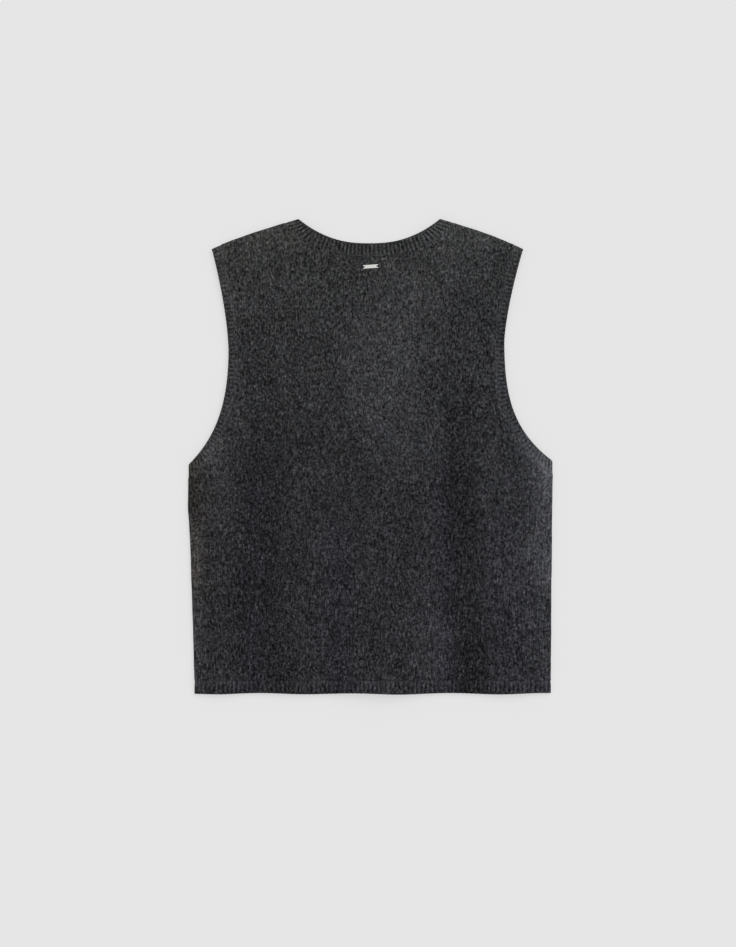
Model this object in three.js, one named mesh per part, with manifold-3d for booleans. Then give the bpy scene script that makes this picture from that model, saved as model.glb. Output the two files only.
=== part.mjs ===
// Sleeveless wool cardigan, buttoned and laid flat on its front, so that its back is uppermost.
// Millimetres. +X is the wearer's right, +Y points to the neck, +Z is up from the surface it lies on.
// The origin is on that surface, at the middle of the garment's width and length.
//
// Each cloth piece is a wall of even thickness. The two fronts lie on the surface, their bands
// overlap at the centre over the buttons, and the back lies over them: it sinks where the V of the
// neck is empty and rises in soft folds. Fronts and back curl towards each other at the side and
// shoulder seams, half way up. Every seam is a small gap between two pieces.

import * as THREE from "three";
import { mergeVertices } from "three/addons/utils/BufferGeometryUtils.js";
import Module from "manifold-3d";

// ---- Driving dimensions -----------------------------------------------------------------------

const bodyLength = 570.6; // high shoulder point to hem
const chest = 437.6; // side to side at the underarm, laid flat
const cloth = 2.6; // wall of the brushed knit
const seamGap = 0.3; // between pieces sewn edge to edge
const layerGap = 0.5; // between cloth lying on cloth

// The outline of each half, as distances from the middle and heights; it lies a little askew.
// bow is the share of the shoulder's drop that comes towards its tip. The armhole's upper half is a
// power curve, rise, and its lower half has a parabola's share, hollow. The side draws in below
// taperY by a power of the way down, taper.
const left = {
  sign: -1, neck: 86.3, tip: 191.1, tipY: 249.1, bow: 0.15, rise: 1.57, narrow: 170.6,
  narrowY: 127, hollow: 0.58, underarmY: -9.4, taperY: -66, taper: 0.7, hem: 210.9,
};
const right = {
  sign: 1, neck: 83, tip: 183.5, tipY: 248.5, bow: 0.2, rise: 1.45, narrow: 160.6,
  narrowY: 137, hollow: 0.38, underarmY: -5.6, taperY: -20, taper: 0.6, hem: 216.1,
};
const frontScoop = 6; // how much deeper the front armhole is cut
const neckDepth = 28.9; // back neck, below the high shoulder point
const neckPower = 2.4; // 2 is a parabola, higher is flatter in the middle
const breakY = 62; // where the V of the front starts
const veePower = 1.15;

// Widths of the ribbed bands, their lengths along the seam where they fold, and that blend's reach.
// lean is how far a band's free edge slides along that seam in the fold, so that the armhole and the
// neckline run on to a clean corner.
const armholeBand = { width: 12, atUnderarm: 17.4, atShoulder: 12.6, lean: 2.4 };
const neckBand = { width: 16, atShoulder: 19.3, lean: 1.8 };
const hemRib = 17;
const blendIn = 30;

const buttons = { count: 5, firstY: 58, pitch: 82, radius: 5.75, thick: 2.5, rim: 0.7, dish: 0.5 };
const shankRadius = 0.7;
const buttonhole = { length: 12.5, width: 2 };
const plate = { length: 18.8, height: 4.4, notch: 1.9, thick: 0.8, y: 228.3, tilt: 4.2, clear: 0.36 };

// How the layers ride over what lies under them.
const overlapTop = 84; // the bands lie on each other below this
const plateau = 10; // half width of that ridge's flat top
const ramp = { front: 26, back: 60 }; // how far it takes to come down beside it
const vee = { margin: 12, reach: 30 }; // from the V's edge to where the back has sunk
const lift = { height: buttons.thick + 0.3, flat: { band: 6.5, back: 14 }, skirt: { band: 14, back: 45 } };

// Soft folds of the back: where each ridge runs, from its head down to the hem.
const ridges = [
  { headX: -188, headY: 20, hemX: -184, half: 32, height: 3.6 },
  { headX: -92, headY: -40, hemX: -97, half: 44, height: 2.2 },
  { headX: 24, headY: 190, hemX: 30, half: 68, height: 3 },
  { headX: 158, headY: 40, hemX: 166, half: 46, height: 4 },
];
const ridgeStart = 90; // over which a ridge rises from nothing
const ridgeClear = 34; // ridges die away this near the sides
const hemWave = { height: 0.7, period: 113, crestX: -131 };

// Facets: intervals along the back and fronts, and the rows a front has either side of a button.
const counts = { side: 12, armhole: 16, line: 200, neck: 12, shoulder: 5, front: 8, vee: 12, fold: 4 };
const buttonRows = [-20.5, -16, -11, -6.5, 6.5, 11, 16, 20.5];

const topY = bodyLength / 2;
const hemY = -bodyLength / 2;
const panelFoot = hemY + hemRib + seamGap;
const layer = cloth + layerGap; // from one layer's underside to the next one's
const foldRadius = layer / 2; // of the middle of the cloth where it folds from front to back
const foldOut = foldRadius + cloth / 2; // how far that fold stands out
const buttonYs = range(buttons.count).map((i) => buttons.firstY - i * buttons.pitch);

// ---- Small tools ------------------------------------------------------------------------------

function at(x, y) {
  return new THREE.Vector2(x, y);
}

function range(n) {
  return Array.from({ length: n }, (_, i) => i);
}

const mix = (a, b, q) => a + (b - a) * q;
const last = (list) => list[list.length - 1];
const moved = (p, way, length) => p.clone().addScaledVector(way, length);
const fall = (distance, reach) => 1 - THREE.MathUtils.smoothstep(distance / reach, 0, 1);

// ---- Outline, seen from above -------------------------------------------------------------------

const hemAt = (x) =>
  hemY + hemWave.height * (1 + Math.cos((2 * Math.PI * (x - hemWave.crestX)) / hemWave.period));

// The side edge's distance from the middle.
function sideAt(side, y) {
  const down = Math.max(0, (side.taperY - y) / (side.taperY - hemY));
  return mix(chest / 2, side.hem, down ** side.taper);
}

// A point of the shoulder seam's outline, by its distance from the middle.
function shoulderAt(side, distance) {
  const out = (distance - side.neck) / (side.tip - side.neck);
  const drop = (topY - side.tipY) * ((1 - side.bow) * out + side.bow * out ** 3);
  return at(side.sign * distance, topY - drop);
}

// There, the way along the seam to the arm, and the way square to it and out of the garment.
function shoulderWays(side, distance) {
  const along = shoulderAt(side, distance + 1).sub(shoulderAt(side, distance)).normalize();
  return { along, out: at(-along.y, along.x).multiplyScalar(side.sign) };
}

// Where a fold over the shoulder starts, so that it stands out just to the outline.
function shoulderInset(side, distance) {
  return moved(shoulderAt(side, distance), shoulderWays(side, distance).out, -foldOut);
}

// The armhole edge's distance from the middle. scoop cuts it deeper between its two ends.
function armholeAt(side, y, scoop) {
  const tip = shoulderInset(side, side.tip);
  const above = y > side.narrowY;
  const q = (y - side.narrowY) / ((above ? tip.y : side.underarmY + armholeBand.lean) - side.narrowY);
  const end = above ? Math.abs(tip.x) : chest / 2 - foldOut;
  const share = above ? q ** side.rise : mix(q ** 4, q ** 2, side.hollow);
  return mix(side.narrow, end, share) - scoop * (1 - q * q);
}

// Where the neck's free edge starts to fold over a shoulder.
const neckCorner = (side) => shoulderInset(side, side.neck - neckBand.lean);

// The back neck's edge, between those two corners.
function neckAt(x) {
  const [from, to] = [left, right].map(neckCorner);
  const q = Math.abs((2 * x - from.x - to.x) / (to.x - from.x));
  return at(x, mix(topY - neckDepth, mix(from.y, to.y, (x - from.x) / (to.x - from.x)), q ** neckPower));
}

// The free edge of a front: straight down from the break, and out to the shoulder above it.
function frontEdgeAt(side, y) {
  const neck = neckCorner(side);
  const up = Math.max(0, (y - breakY) / (neck.y - breakY));
  return mix((-side.sign * neckBand.width) / 2, neck.x, up ** veePower);
}

// ---- Heights of the undersides ------------------------------------------------------------------

function buttonLift(x, y, kind) {
  const beside = Math.max(0, Math.abs(x) - neckBand.width / 2 - 1);
  const falls = buttonYs.map((by) => fall(Math.hypot(beside, y - by) - lift.flat[kind], lift.skirt[kind]));
  return lift.height * Math.max(...falls);
}

function overlap(x, y, reach) {
  return fall(Math.hypot(Math.max(0, Math.abs(x) - plateau), Math.max(0, y - overlapTop)), reach);
}

function ridgeHeight(x, y) {
  const side = x < 0 ? left : right;
  const edge = y > side.underarmY ? armholeAt(side, Math.min(y, side.tipY - foldOut), 0) : sideAt(side, y);
  const heights = ridges.map((r) => {
    const q = Math.abs(x - mix(r.hemX, r.headX, (y - hemY) / (r.headY - hemY))) / r.half;
    return r.height * Math.max(0, 1 - q * q) ** 2 * (1 - fall(r.headY - y, ridgeStart));
  });
  return (1 - fall(edge - Math.abs(x) - foldOut, ridgeClear)) * heights.reduce((sum, h) => sum + h);
}

const underRight = (x, y) => buttonLift(x, y, "band");
const underLeft = (x, y) => layer * overlap(x, y, ramp.front) + buttonLift(x, y, "band");

function underBack(x, y) {
  const inside = Math.min(x - frontEdgeAt(left, y), frontEdgeAt(right, y) - x);
  const resting = fall(inside - vee.margin, vee.reach);
  const base = layer * (1 + overlap(x, y, ramp.back)) + buttonLift(x, y, "back");
  return base * resting + ridgeHeight(x, y);
}

const frontHeight = (side) => (side === left ? underLeft : underRight);

// ---- Solids -------------------------------------------------------------------------------------

// A closed geometry from points and quads or triangles, turned so that its faces point out.
function closed(points, faces) {
  const triangles = faces.flatMap(([a, b, c, d]) => (d === undefined ? [[a, b, c]] : [[a, b, c], [a, c, d]]));
  const volume = triangles.reduce(
    (sum, [a, b, c]) => sum + points[a].dot(new THREE.Vector3().crossVectors(points[b], points[c])),
    0,
  );
  const geometry = new THREE.BufferGeometry().setFromPoints(points);
  geometry.setIndex(triangles.flatMap(([a, b, c]) => (volume > 0 ? [a, b, c] : [a, c, b])));
  return geometry;
}

// The cloth's outer and inner face beside p, at an angle of the fold: 0 is flat with the outside
// up, pi is flat with the outside down. Between them it stands out from p by away.
function folded(p, middle, turn, away) {
  return [1, -1].map((face) => {
    const out = Math.sin(turn) * (foldRadius + (face * cloth) / 2);
    const height = middle + (face * Math.cos(turn) * cloth) / 2;
    return new THREE.Vector3(p.x + away.x * out, p.y + away.y * out, height);
  });
}

const foldMiddle = (turn) => foldOut + foldRadius * Math.cos(turn);

// A wall over a grid of places, rows of columns. height gives its underside. front says that its
// outside faces down. A place on the grid's border with a lip curls towards the other layer there.
function wall(grid, height, front) {
  const [rows, columns] = [grid.length, grid[0].length];
  const spot = (i, j) => j * columns + i;
  const size = rows * columns;
  const places = grid.flat();
  const level = (z) => places.map((p) => new THREE.Vector3(p.x, p.y, height(p.x, p.y) + z));
  const points = [...level(cloth), ...level(0)];
  const faces = [];
  for (let j = 0; j < rows - 1; j += 1) {
    for (let i = 0; i < columns - 1; i += 1) {
      const quad = [spot(i, j), spot(i + 1, j), spot(i + 1, j + 1), spot(i, j + 1)];
      faces.push(quad, quad.map((k) => k + size).reverse());
    }
  }

  // Round the border, each place has a chain of points from its upper rim to its lower one.
  const border = [
    ...range(columns - 1).map((i) => spot(i, 0)),
    ...range(rows - 1).map((j) => spot(columns - 1, j)),
    ...range(columns - 1).map((i) => spot(columns - 1 - i, rows - 1)),
    ...range(rows - 1).map((j) => spot(0, rows - 1 - j)),
  ];
  const chains = border.map((k) => {
    if (!places[k].lip) return [k, k + size];
    const turns = [Math.PI / 4, Math.PI / 2].map((turn) => (front ? Math.PI - turn : turn));
    const middles = [foldMiddle(turns[0]), foldOut + (front ? -seamGap : seamGap) / 2];
    const pairs = turns.map((turn, t) => folded(places[k], middles[t], turn, places[k].lip));
    const [first, second] = front ? [1, 0] : [0, 1];
    const chain = [pairs[0][first], pairs[1][first], pairs[1][second], pairs[0][second]];
    points.push(...chain);
    return [k, ...range(4).map((c) => points.length - 4 + c), k + size];
  });
  const closeEnd = (c) => [[c[0], c[1], c[4], c[5]], [c[1], c[2], c[3], c[4]]];
  chains.forEach((chain, k) => {
    const next = chains[(k + 1) % chains.length];
    const curled = chain.length > 2 && next.length > 2;
    const [here, there] = curled ? [chain, next] : [chain, next].map((c) => [c[0], last(c)]);
    range(here.length - 1).forEach((s) => faces.push([here[s], here[s + 1], there[s + 1], there[s]]));
    if (!curled && chain.length > 2) faces.push(...closeEnd(chain));
    if (!curled && next.length > 2) faces.push(...closeEnd(next).map((face) => face.reverse()));
  });
  return closed(points, faces);
}

// A band through sections of four corners each, as a ring or with two flat ends.
function band(sections, ring) {
  const faces = sections.slice(ring ? 0 : 1).flatMap((_, k) => {
    const [a, b] = [k * 4, ((k + 1) % sections.length) * 4];
    return range(4).map((c) => [a + c, a + ((c + 1) % 4), b + ((c + 1) % 4), b + c]);
  });
  const end = sections.length * 4;
  if (!ring) faces.push([3, 2, 1, 0], [end - 4, end - 3, end - 2, end - 1]);
  return closed(sections.flat(), faces);
}

// One section of a band, from its free edge to its seam.
function section({ edge, seam }, middle, turn, away) {
  const [edgeOut, edgeIn] = folded(edge, middle(edge), turn, away);
  const [seamOut, seamIn] = folded(seam, middle(seam), turn, away);
  return [edgeOut, edgeIn, seamIn, seamOut];
}

const flat = (line, height, turn) =>
  line.map((places) => section(places, (p) => height(p.x, p.y) + cloth / 2, turn, at(0, 0)));

// The sections of a fold between the layers, without the flat ones at its two ends.
const fold = ({ edge, seam }, from, to, away, slide = at(0, 0)) =>
  range(counts.fold - 1).map((i) => {
    const turn = mix(from, to, (i + 1) / counts.fold);
    const free = moved(edge, slide, Math.sin(turn));
    return section({ edge: free, seam }, () => foldMiddle(turn), turn, away);
  });

// Beside each edge point, the band's seam and the panel's edge beyond its gap. They lie square to
// the edge, but swing round at the two ends to lie along the seam that the band meets there.
function bandLine(edge, width, ends, inward) {
  const run = edge.map((p, i) => (i ? p.distanceTo(edge[i - 1]) : 0));
  run.forEach((step, i) => {
    run[i] = (run[i - 1] ?? 0) + step;
  });
  return edge.map((p, i) => {
    const way = edge[Math.min(edge.length - 1, i + 1)].clone().sub(edge[Math.max(0, i - 1)]).normalize();
    const square = at(-way.y, way.x).multiplyScalar(inward);
    const turned = square.clone();
    ends.forEach((end, k) => turned.lerp(end.way ?? square, fall(k ? last(run) - run[i] : run[i], blendIn)));
    turned.normalize();
    const reach = ends.reduce(
      (length, end, k) => mix(length, end.length ?? length, fall(k ? last(run) - run[i] : run[i], blendIn)),
      width / turned.dot(square),
    );
    return { edge: p, seam: moved(p, turned, reach), panel: moved(p, turned, reach + seamGap * 1.35) };
  });
}

// ---- Armhole bands ------------------------------------------------------------------------------

// The places up an armhole's band, from the underarm's fold to the shoulder's, very close together.
function armholeLine(side, scoop) {
  const tip = shoulderInset(side, side.tip);
  const edge = range(counts.line + 1).map((i) => {
    const y = mix(side.underarmY + armholeBand.lean, tip.y, (i / counts.line) ** 1.5);
    return at(side.sign * armholeAt(side, y, scoop), y);
  });
  const alongShoulder = shoulderWays(side, side.tip).along.negate();
  const ends = [
    { way: at(0, -1), length: armholeBand.atUnderarm },
    { way: alongShoulder, length: armholeBand.atShoulder },
  ];
  return bandLine(edge, armholeBand.width, ends, side.sign);
}

// The same line's two ends, and between them its places at these heights of the panel's edge.
function armholePlaces(side, scoop, heights) {
  const line = armholeLine(side, scoop);
  const between = heights.map((y) => {
    const k = line.findIndex((place) => place.panel.y > y);
    const [a, b] = [line[k - 1], line[k]];
    const q = (y - a.panel.y) / (b.panel.y - a.panel.y);
    const part = (name) => a[name].clone().lerp(b[name], q);
    return { edge: part("edge"), seam: part("seam"), panel: part("panel") };
  });
  return [line[0], ...between, last(line)];
}

function armholeBack(side) {
  const line = armholeLine(side, 0);
  const shares = range(counts.armhole - 1).map((i) => ((i + 1) / counts.armhole) ** 1.2);
  return armholePlaces(side, 0, shares.map((q) => mix(line[0].panel.y, last(line).panel.y, q)));
}

// ---- Button band: up one front, round the back neck and down the other ---------------------------

// Heights of a front's rows, up its inner edge, with the share of the panel's height each is at.
// They close in round each button, and one of them meets the underarm.
function frontRows(side) {
  const [line, neck] = [armholeLine(side, frontScoop), neckCorner(side)];
  const share = (y, top) => (y - panelFoot) / (top - panelFoot);
  const join = mix(panelFoot, neck.y, share(line[0].panel.y, last(line).panel.y));
  const near = buttonYs.flatMap((by) => buttonRows.map((offset) => by + offset));
  const above = range(counts.vee).map((i) => mix(Math.max(...near), neck.y, (i + 1) / counts.vee));
  const rows = [...near, ...above].filter((y) => y > panelFoot + 3 && Math.abs(y - join) > 3.5);
  const heights = [panelFoot, join, ...rows].sort((a, b) => a - b);
  return { heights, shares: heights.map((y) => share(y, neck.y)), join: heights.indexOf(join) };
}

function frontLine(side) {
  const { heights } = frontRows(side);
  const near = buttonRows.map((offset) => last(buttonYs) + offset);
  const below = near.filter((y) => y < panelFoot - 2 && y > hemY + 3);
  const edge = [hemAt(0), ...below, ...heights].map((y) => at(frontEdgeAt(side, y), y));
  const shoulder = { way: shoulderWays(side, side.neck).along, length: neckBand.atShoulder };
  return bandLine(edge, neckBand.width, [{}, shoulder], -side.sign);
}

function neckLine() {
  const [from, to] = [left, right].map((side) => neckCorner(side).x);
  const edge = range(counts.neck + 1).map((i) => neckAt(mix(from, to, i / counts.neck)));
  const ends = [left, right].map((side) => ({
    way: shoulderWays(side, side.neck).along,
    length: neckBand.atShoulder,
  }));
  return bandLine(edge, neckBand.width, ends, -1);
}

// ---- Grids of the panels ----------------------------------------------------------------------------

// A place of a panel's grid; lip is the way it curls out to the seam with the other layer.
function place(p, lip) {
  return Object.assign(p.clone(), { lip });
}

// A place where the side starts to curl.
function sidePlace(side, y) {
  return place(at(side.sign * (sideAt(side, y) - foldOut), y), at(side.sign, 0));
}

// Places along a shoulder, from the end of the neck's band to the end of the armhole's.
function shoulderPlaces(side, neck, tip, spacing) {
  const outlineAt = (p, distance) => Math.abs(p.x) + distance - Math.abs(shoulderInset(side, distance).x);
  const [from, to] = [outlineAt(neck, side.neck), outlineAt(tip, side.tip)];
  return spacing.map((q) => {
    const distance = mix(from, to, q);
    const inset = { 0: neck, 1: tip }[q] ?? shoulderInset(side, distance);
    return place(inset, shoulderWays(side, distance).out);
  });
}

function backGrid() {
  const places = [left, right].map(armholeBack);
  const outer = places.map((line, s) => {
    const side = [left, right][s];
    const heights = range(counts.side).map((j) => mix(panelFoot, line[0].panel.y, j / counts.side));
    const lower = heights.map((y) => sidePlace(side, y));
    return [...lower, place(line[0].panel, at(side.sign, 0)), ...line.slice(1).map((p) => p.panel)];
  });
  const neck = neckLine();
  const spacing = range(counts.shoulder + 1).map((i) => i / counts.shoulder);
  const shoulders = [left, right].map((side, s) =>
    shoulderPlaces(side, (s ? last(neck) : neck[0]).panel, last(outer[s]), spacing),
  );
  const top = [...shoulders[0].reverse(), ...neck.slice(1, -1).map((p) => p.panel), ...shoulders[1]];
  const shares = outer.map((edge) => edge.map((p) => (p.y - panelFoot) / (last(edge).y - panelFoot)));
  const body = outer[0].slice(0, -1).map((_, j) =>
    top.map((p, i) => {
      const s = p.x < 0 ? 0 : 1;
      if (i === 0 || i === top.length - 1) return outer[s][j];
      const up = mix(shares[0][j], shares[1][j], i / (top.length - 1));
      return at((p.x * outer[s][j].x) / last(outer[s]).x, mix(panelFoot, p.y, up));
    }),
  );
  return [...body, top];
}

function frontGrid(side) {
  const { shares, join } = frontRows(side);
  const inner = frontLine(side).slice(-shares.length).map((p) => p.panel);
  const spacing = range(counts.front + 1).map((i) => (i / counts.front) ** 1.25);
  const armhole = frontArmhole(side);
  const top = shoulderPlaces(side, last(inner), last(armhole).panel, spacing);
  return shares.map((up, j) => {
    if (j === shares.length - 1) return top;
    const outer = j < join ? sidePlace(side, mix(panelFoot, last(top).y, up)) : armhole[j - join].panel;
    if (j === join) outer.lip = at(side.sign, 0);
    return spacing.map((q, i) => {
      if (q === 1) return outer;
      const bow = top[i].y - mix(top[0].y, last(top).y, q);
      return inner[j].clone().lerp(outer, q).add(at(0, bow * up ** 3));
    });
  });
}

function frontArmhole(side) {
  const { shares, join } = frontRows(side);
  const tip = last(armholeLine(side, frontScoop)).panel;
  return armholePlaces(side, frontScoop, shares.slice(join + 1, -1).map((up) => mix(panelFoot, tip.y, up)));
}

// A hem rib hangs from a panel's lowest row of places.
function hemGrid(row) {
  const drop = (p, y) => {
    const side = p.x < 0 ? left : right;
    const scale = (sideAt(side, y) - foldOut) / (sideAt(side, panelFoot) - foldOut);
    return place(at(p.x * scale, y), p.lip);
  };
  return [row.map((p) => drop(p, hemAt(p.x))), row.map((p) => drop(p, hemY + hemRib))];
}

// ---- The cloth's solids -----------------------------------------------------------------------------

function armholeRing(side) {
  const back = armholeBack(side);
  const front = frontArmhole(side);
  const { out } = shoulderWays(side, side.tip);
  return band(
    [
      ...flat(back, underBack, 0),
      ...fold(last(back), 0, Math.PI, out),
      ...flat(front, frontHeight(side), Math.PI).reverse(),
      ...fold(back[0], Math.PI, 0, at(side.sign, 0), at(0, -armholeBand.lean)),
    ],
    true,
  );
}

function buttonBand() {
  const neck = neckLine();
  const over = (places, side, from, to) => {
    const { along, out } = shoulderWays(side, side.neck);
    return fold(places, from, to, out, along.multiplyScalar(neckBand.lean));
  };
  return band(
    [
      ...flat(frontLine(left), underLeft, Math.PI),
      ...over(neck[0], left, Math.PI, 0),
      ...flat(neck, underBack, 0),
      ...over(last(neck), right, 0, Math.PI),
      ...flat(frontLine(right), underRight, Math.PI).reverse(),
    ],
    false,
  );
}

// ---- Buttons, their thread shanks and the metal plate -----------------------------------------------

// A dished button, face down: a flat back, a rounded rim and a shallow hollow in its face.
function buttonSolid() {
  const { radius, thick, rim, dish } = buttons;
  const profile = [
    at(0, dish),
    at(radius * 0.55, dish),
    at(radius * 0.72, 0),
    at(radius - rim, 0),
    at(radius, rim),
    at(radius, thick - rim),
    at(radius - rim, thick),
    at(0, thick),
  ];
  return new THREE.LatheGeometry(profile, 20).rotateX(Math.PI / 2);
}

// It runs from the button up through the buttonhole to the band the button is sewn to.
const shankLength = lift.height + layer - buttons.thick - 2 * seamGap;
function shankSolid() {
  return new THREE.CylinderGeometry(shankRadius, shankRadius, shankLength, 10).rotateX(Math.PI / 2);
}

function plateSolid() {
  const { length, height, notch, thick } = plate;
  const [x, y] = [length / 2, height / 2];
  const outline = [at(-x, -y), at(x, -y), at(x - notch, 0), at(x, y), at(-x, y), at(-x + notch, 0)];
  return new THREE.ExtrudeGeometry(new THREE.Shape(outline), { depth: thick, bevelEnabled: false });
}

// ---- Buttonholes, cut through the right front's band ------------------------------------------------

const wasm = await Module();
wasm.setup();

function manifold(geometry) {
  const bare = geometry.clone();
  bare.deleteAttribute("normal");
  bare.deleteAttribute("uv");
  const merged = mergeVertices(bare, 1e-3);
  return new wasm.Manifold(
    new wasm.Mesh({
      numProp: 3,
      vertProperties: merged.attributes.position.array,
      triVerts: new Uint32Array(merged.index.array),
    }),
  );
}

function withButtonholes(geometry) {
  const height = lift.height + cloth + layerGap / 2;
  const cut = (solid, y) => {
    const slot = new THREE.BoxGeometry(buttonhole.width, buttonhole.length, height);
    return solid.subtract(manifold(slot.translate(0, y, height / 2)));
  };
  const mesh = buttonYs.reduce(cut, manifold(geometry)).getMesh();
  const result = new THREE.BufferGeometry();
  result.setAttribute("position", new THREE.BufferAttribute(mesh.vertProperties, 3));
  result.setIndex(new THREE.BufferAttribute(mesh.triVerts, 1));
  return result;
}

// ---- The garment ------------------------------------------------------------------------------------

const wool = { color: 0x2b2c2f, roughness: 0.95, metalness: 0 };
const rib = { color: 0x26272a, roughness: 0.95, metalness: 0 };
const horn = { color: 0x2a2725, roughness: 0.35, metalness: 0 };
const thread = { color: 0x1d1e20, roughness: 0.8, metalness: 0 };
const steel = { color: 0xd8d6d2, roughness: 0.25, metalness: 1 };

const garment = new THREE.Group();

function add(name, geometry, finish, x = 0, y = 0, z = 0) {
  const mesh = new THREE.Mesh(geometry, new THREE.MeshStandardMaterial(finish));
  mesh.name = name;
  mesh.position.set(x, y, z);
  garment.add(mesh);
  return mesh;
}

const back = backGrid();
const fronts = [left, right].map(frontGrid);
add("back_panel", wall(back, underBack, false), wool);
add("front_panel_left", wall(fronts[0], underLeft, true), wool);
add("front_panel_right", wall(fronts[1], underRight, true), wool);
add("back_hem_rib", wall(hemGrid(back[0]), underBack, false), rib);
add("front_hem_rib_left", wall(hemGrid(fronts[0][0]), underLeft, true), rib);
add("front_hem_rib_right", wall(hemGrid(fronts[1][0]), underRight, true), rib);
add("armhole_band_left", armholeRing(left), rib);
add("armhole_band_right", armholeRing(right), rib);
add("button_band", withButtonholes(buttonBand()), rib);
buttonYs.forEach((y, i) => {
  add(`button_${i + 1}`, buttonSolid(), horn, 0, y, 0);
  add(`button_shank_${i + 1}`, shankSolid(), thread, 0, y, buttons.thick + seamGap + shankLength / 2);
});
const badge = add("back_plate", plateSolid(), steel, 0, plate.y, underBack(0, plate.y) + cloth + plate.clear);
badge.rotation.z = THREE.MathUtils.degToRad(plate.tilt);

export default garment;
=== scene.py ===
import bpy
import numpy as np
from mathutils import Matrix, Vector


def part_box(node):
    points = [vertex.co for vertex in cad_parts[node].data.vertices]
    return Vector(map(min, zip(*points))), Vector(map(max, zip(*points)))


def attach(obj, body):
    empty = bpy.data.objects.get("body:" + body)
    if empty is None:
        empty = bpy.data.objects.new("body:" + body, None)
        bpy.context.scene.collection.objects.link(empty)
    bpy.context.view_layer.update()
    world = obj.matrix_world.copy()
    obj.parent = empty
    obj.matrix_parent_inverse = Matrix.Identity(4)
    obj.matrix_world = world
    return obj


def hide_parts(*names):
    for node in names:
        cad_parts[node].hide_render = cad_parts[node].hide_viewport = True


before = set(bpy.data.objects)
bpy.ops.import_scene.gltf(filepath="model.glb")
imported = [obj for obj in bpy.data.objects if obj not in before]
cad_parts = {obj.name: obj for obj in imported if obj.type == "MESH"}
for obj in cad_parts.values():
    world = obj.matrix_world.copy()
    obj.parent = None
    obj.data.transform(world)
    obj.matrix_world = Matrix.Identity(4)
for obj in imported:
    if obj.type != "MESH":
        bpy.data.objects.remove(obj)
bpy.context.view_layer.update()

print("frame loaded:", len(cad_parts), "nodes")

# Shapes are worked out in millimetres, in the frame's own axes, and become metres in makeMesh.
garment = {
    "length": 570.6,  # high shoulder point to hem
    "chest": 437.6,  # side to side at the underarm
    "cloth": 2.6,
    "layerGap": 0.5,
    "hemRib": 17.0,
    "armholeBand": 12.0,
    "neckBand": 16.0,
    "armholeLean": 2.4,  # how far the bands' free edges slide along the side and shoulder seams in the
    "neckLean": 1.8,  # folds, so that the armhole and the neckline run on to a clean corner
    "armholeAtUnderarm": 17.4,  # the armhole band's width along the side seam
    "armholeAtShoulder": 12.6,  # and along the shoulder
    "neckAtShoulder": 19.3,
    "frontScoop": 6.0,
    "neckDepth": 28.9,
    "neckPower": 2.4,
    "breakY": 62.0,  # where the V of the front starts
    "veePower": 1.15,
    "seam": 0.08,  # left open between two pieces
    "spacing": 3.0,  # between the rows of the panels' grids
    "columns": {"neck": 72, "shoulder": 30, "front": 60, "backHem": 700, "frontHem": 340},
    "linePoints": {"armhole": 900, "neck": 600, "front": 1400},
}
# bow is the share of the shoulder's drop that comes towards its tip. The armhole's upper half is a
# power curve, rise, and its lower half has a parabola's share, hollow. The side draws in below taperY
# by a power of the way down, taper.
leftSide = {
    "name": "left", "sign": -1, "neck": 86.3, "tip": 191.1, "tipY": 249.1, "bow": 0.15, "rise": 1.57,
    "narrow": 170.6, "narrowY": 127.0, "hollow": 0.58, "underarmY": -9.4, "taperY": -66.0,
    "taper": 0.7, "hem": 210.9,
}
rightSide = {
    "name": "right", "sign": 1, "neck": 83.0, "tip": 183.5, "tipY": 248.5, "bow": 0.2, "rise": 1.45,
    "narrow": 160.6, "narrowY": 137.0, "hollow": 0.38, "underarmY": -5.6, "taperY": -20.0,
    "taper": 0.6, "hem": 216.1,
}
lay = {
    "overlapTop": 84.0,  # the button bands lie on each other below this
    "plateau": 10.0,
    "rampFront": 26.0,
    "rampBack": 60.0,
    "veeMargin": 12.0,  # from the V's edge to where the back starts to sink
    "veeReach": 30.0,
    "hemHeight": 0.7,  # the hem's wave
    "hemPeriod": 113.0,
    "hemCrest": -131.0,
    "ridgeStart": 90.0,
    "ridgeClear": 34.0,
    "ridges": [  # head x, head y, hem x, half width, height
        (-188, 20, -184, 32, 3.6),
        (-92, -40, -97, 44, 2.2),
        (24, 190, 30, 68, 3.0),
        (158, 40, 166, 46, 4.0),
    ],
}
button = {
    "count": 5, "firstY": 58.0, "pitch": 82.0, "radius": 5.75, "thick": 2.5,
    "clear": 0.3,  # between a button and the band
    "holeLength": 12.5, "holeWidth": 2.0, "liftBand": (6.5, 14.0), "liftBack": (14.0, 45.0),
}
topY = garment["length"] / 2
hemY = -topY
half = garment["cloth"] / 2
layer = garment["cloth"] + garment["layerGap"]
foldRadius = layer / 2
foldOut = foldRadius + half
foldReach = foldRadius + 0.4  # the folds are flattened circles
panelFoot = hemY + garment["hemRib"]
buttonYs = button["firstY"] - button["pitch"] * np.arange(button["count"])


def fall(distance, reach):
    # 1 at no distance, 0 beyond reach, with a smooth s-shaped slope between them
    q = np.clip(np.asarray(distance, float) / reach, 0, 1)
    return 1 - q * q * (3 - 2 * q)


def mix(a, b, q):
    return a + (b - a) * q


def unit(v):
    return v / np.linalg.norm(v, axis=-1, keepdims=True)


def lattice(x, y, size, seed):
    # smooth random heights from -1 to 1: random numbers on a square lattice, eased between its corners
    table = np.random.default_rng(seed).uniform(-1, 1, (256, 256))
    u, v = np.asarray(x) / size + 40.5, np.asarray(y) / size + 40.5
    i, j = np.floor(u).astype(int), np.floor(v).astype(int)
    p, q = 1 - fall(u - i, 1), 1 - fall(v - j, 1)
    at = lambda a, b: table[(i + a) % 256, (j + b) % 256]
    return mix(mix(at(0, 0), at(1, 0), p), mix(at(0, 1), at(1, 1), p), q)


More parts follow.
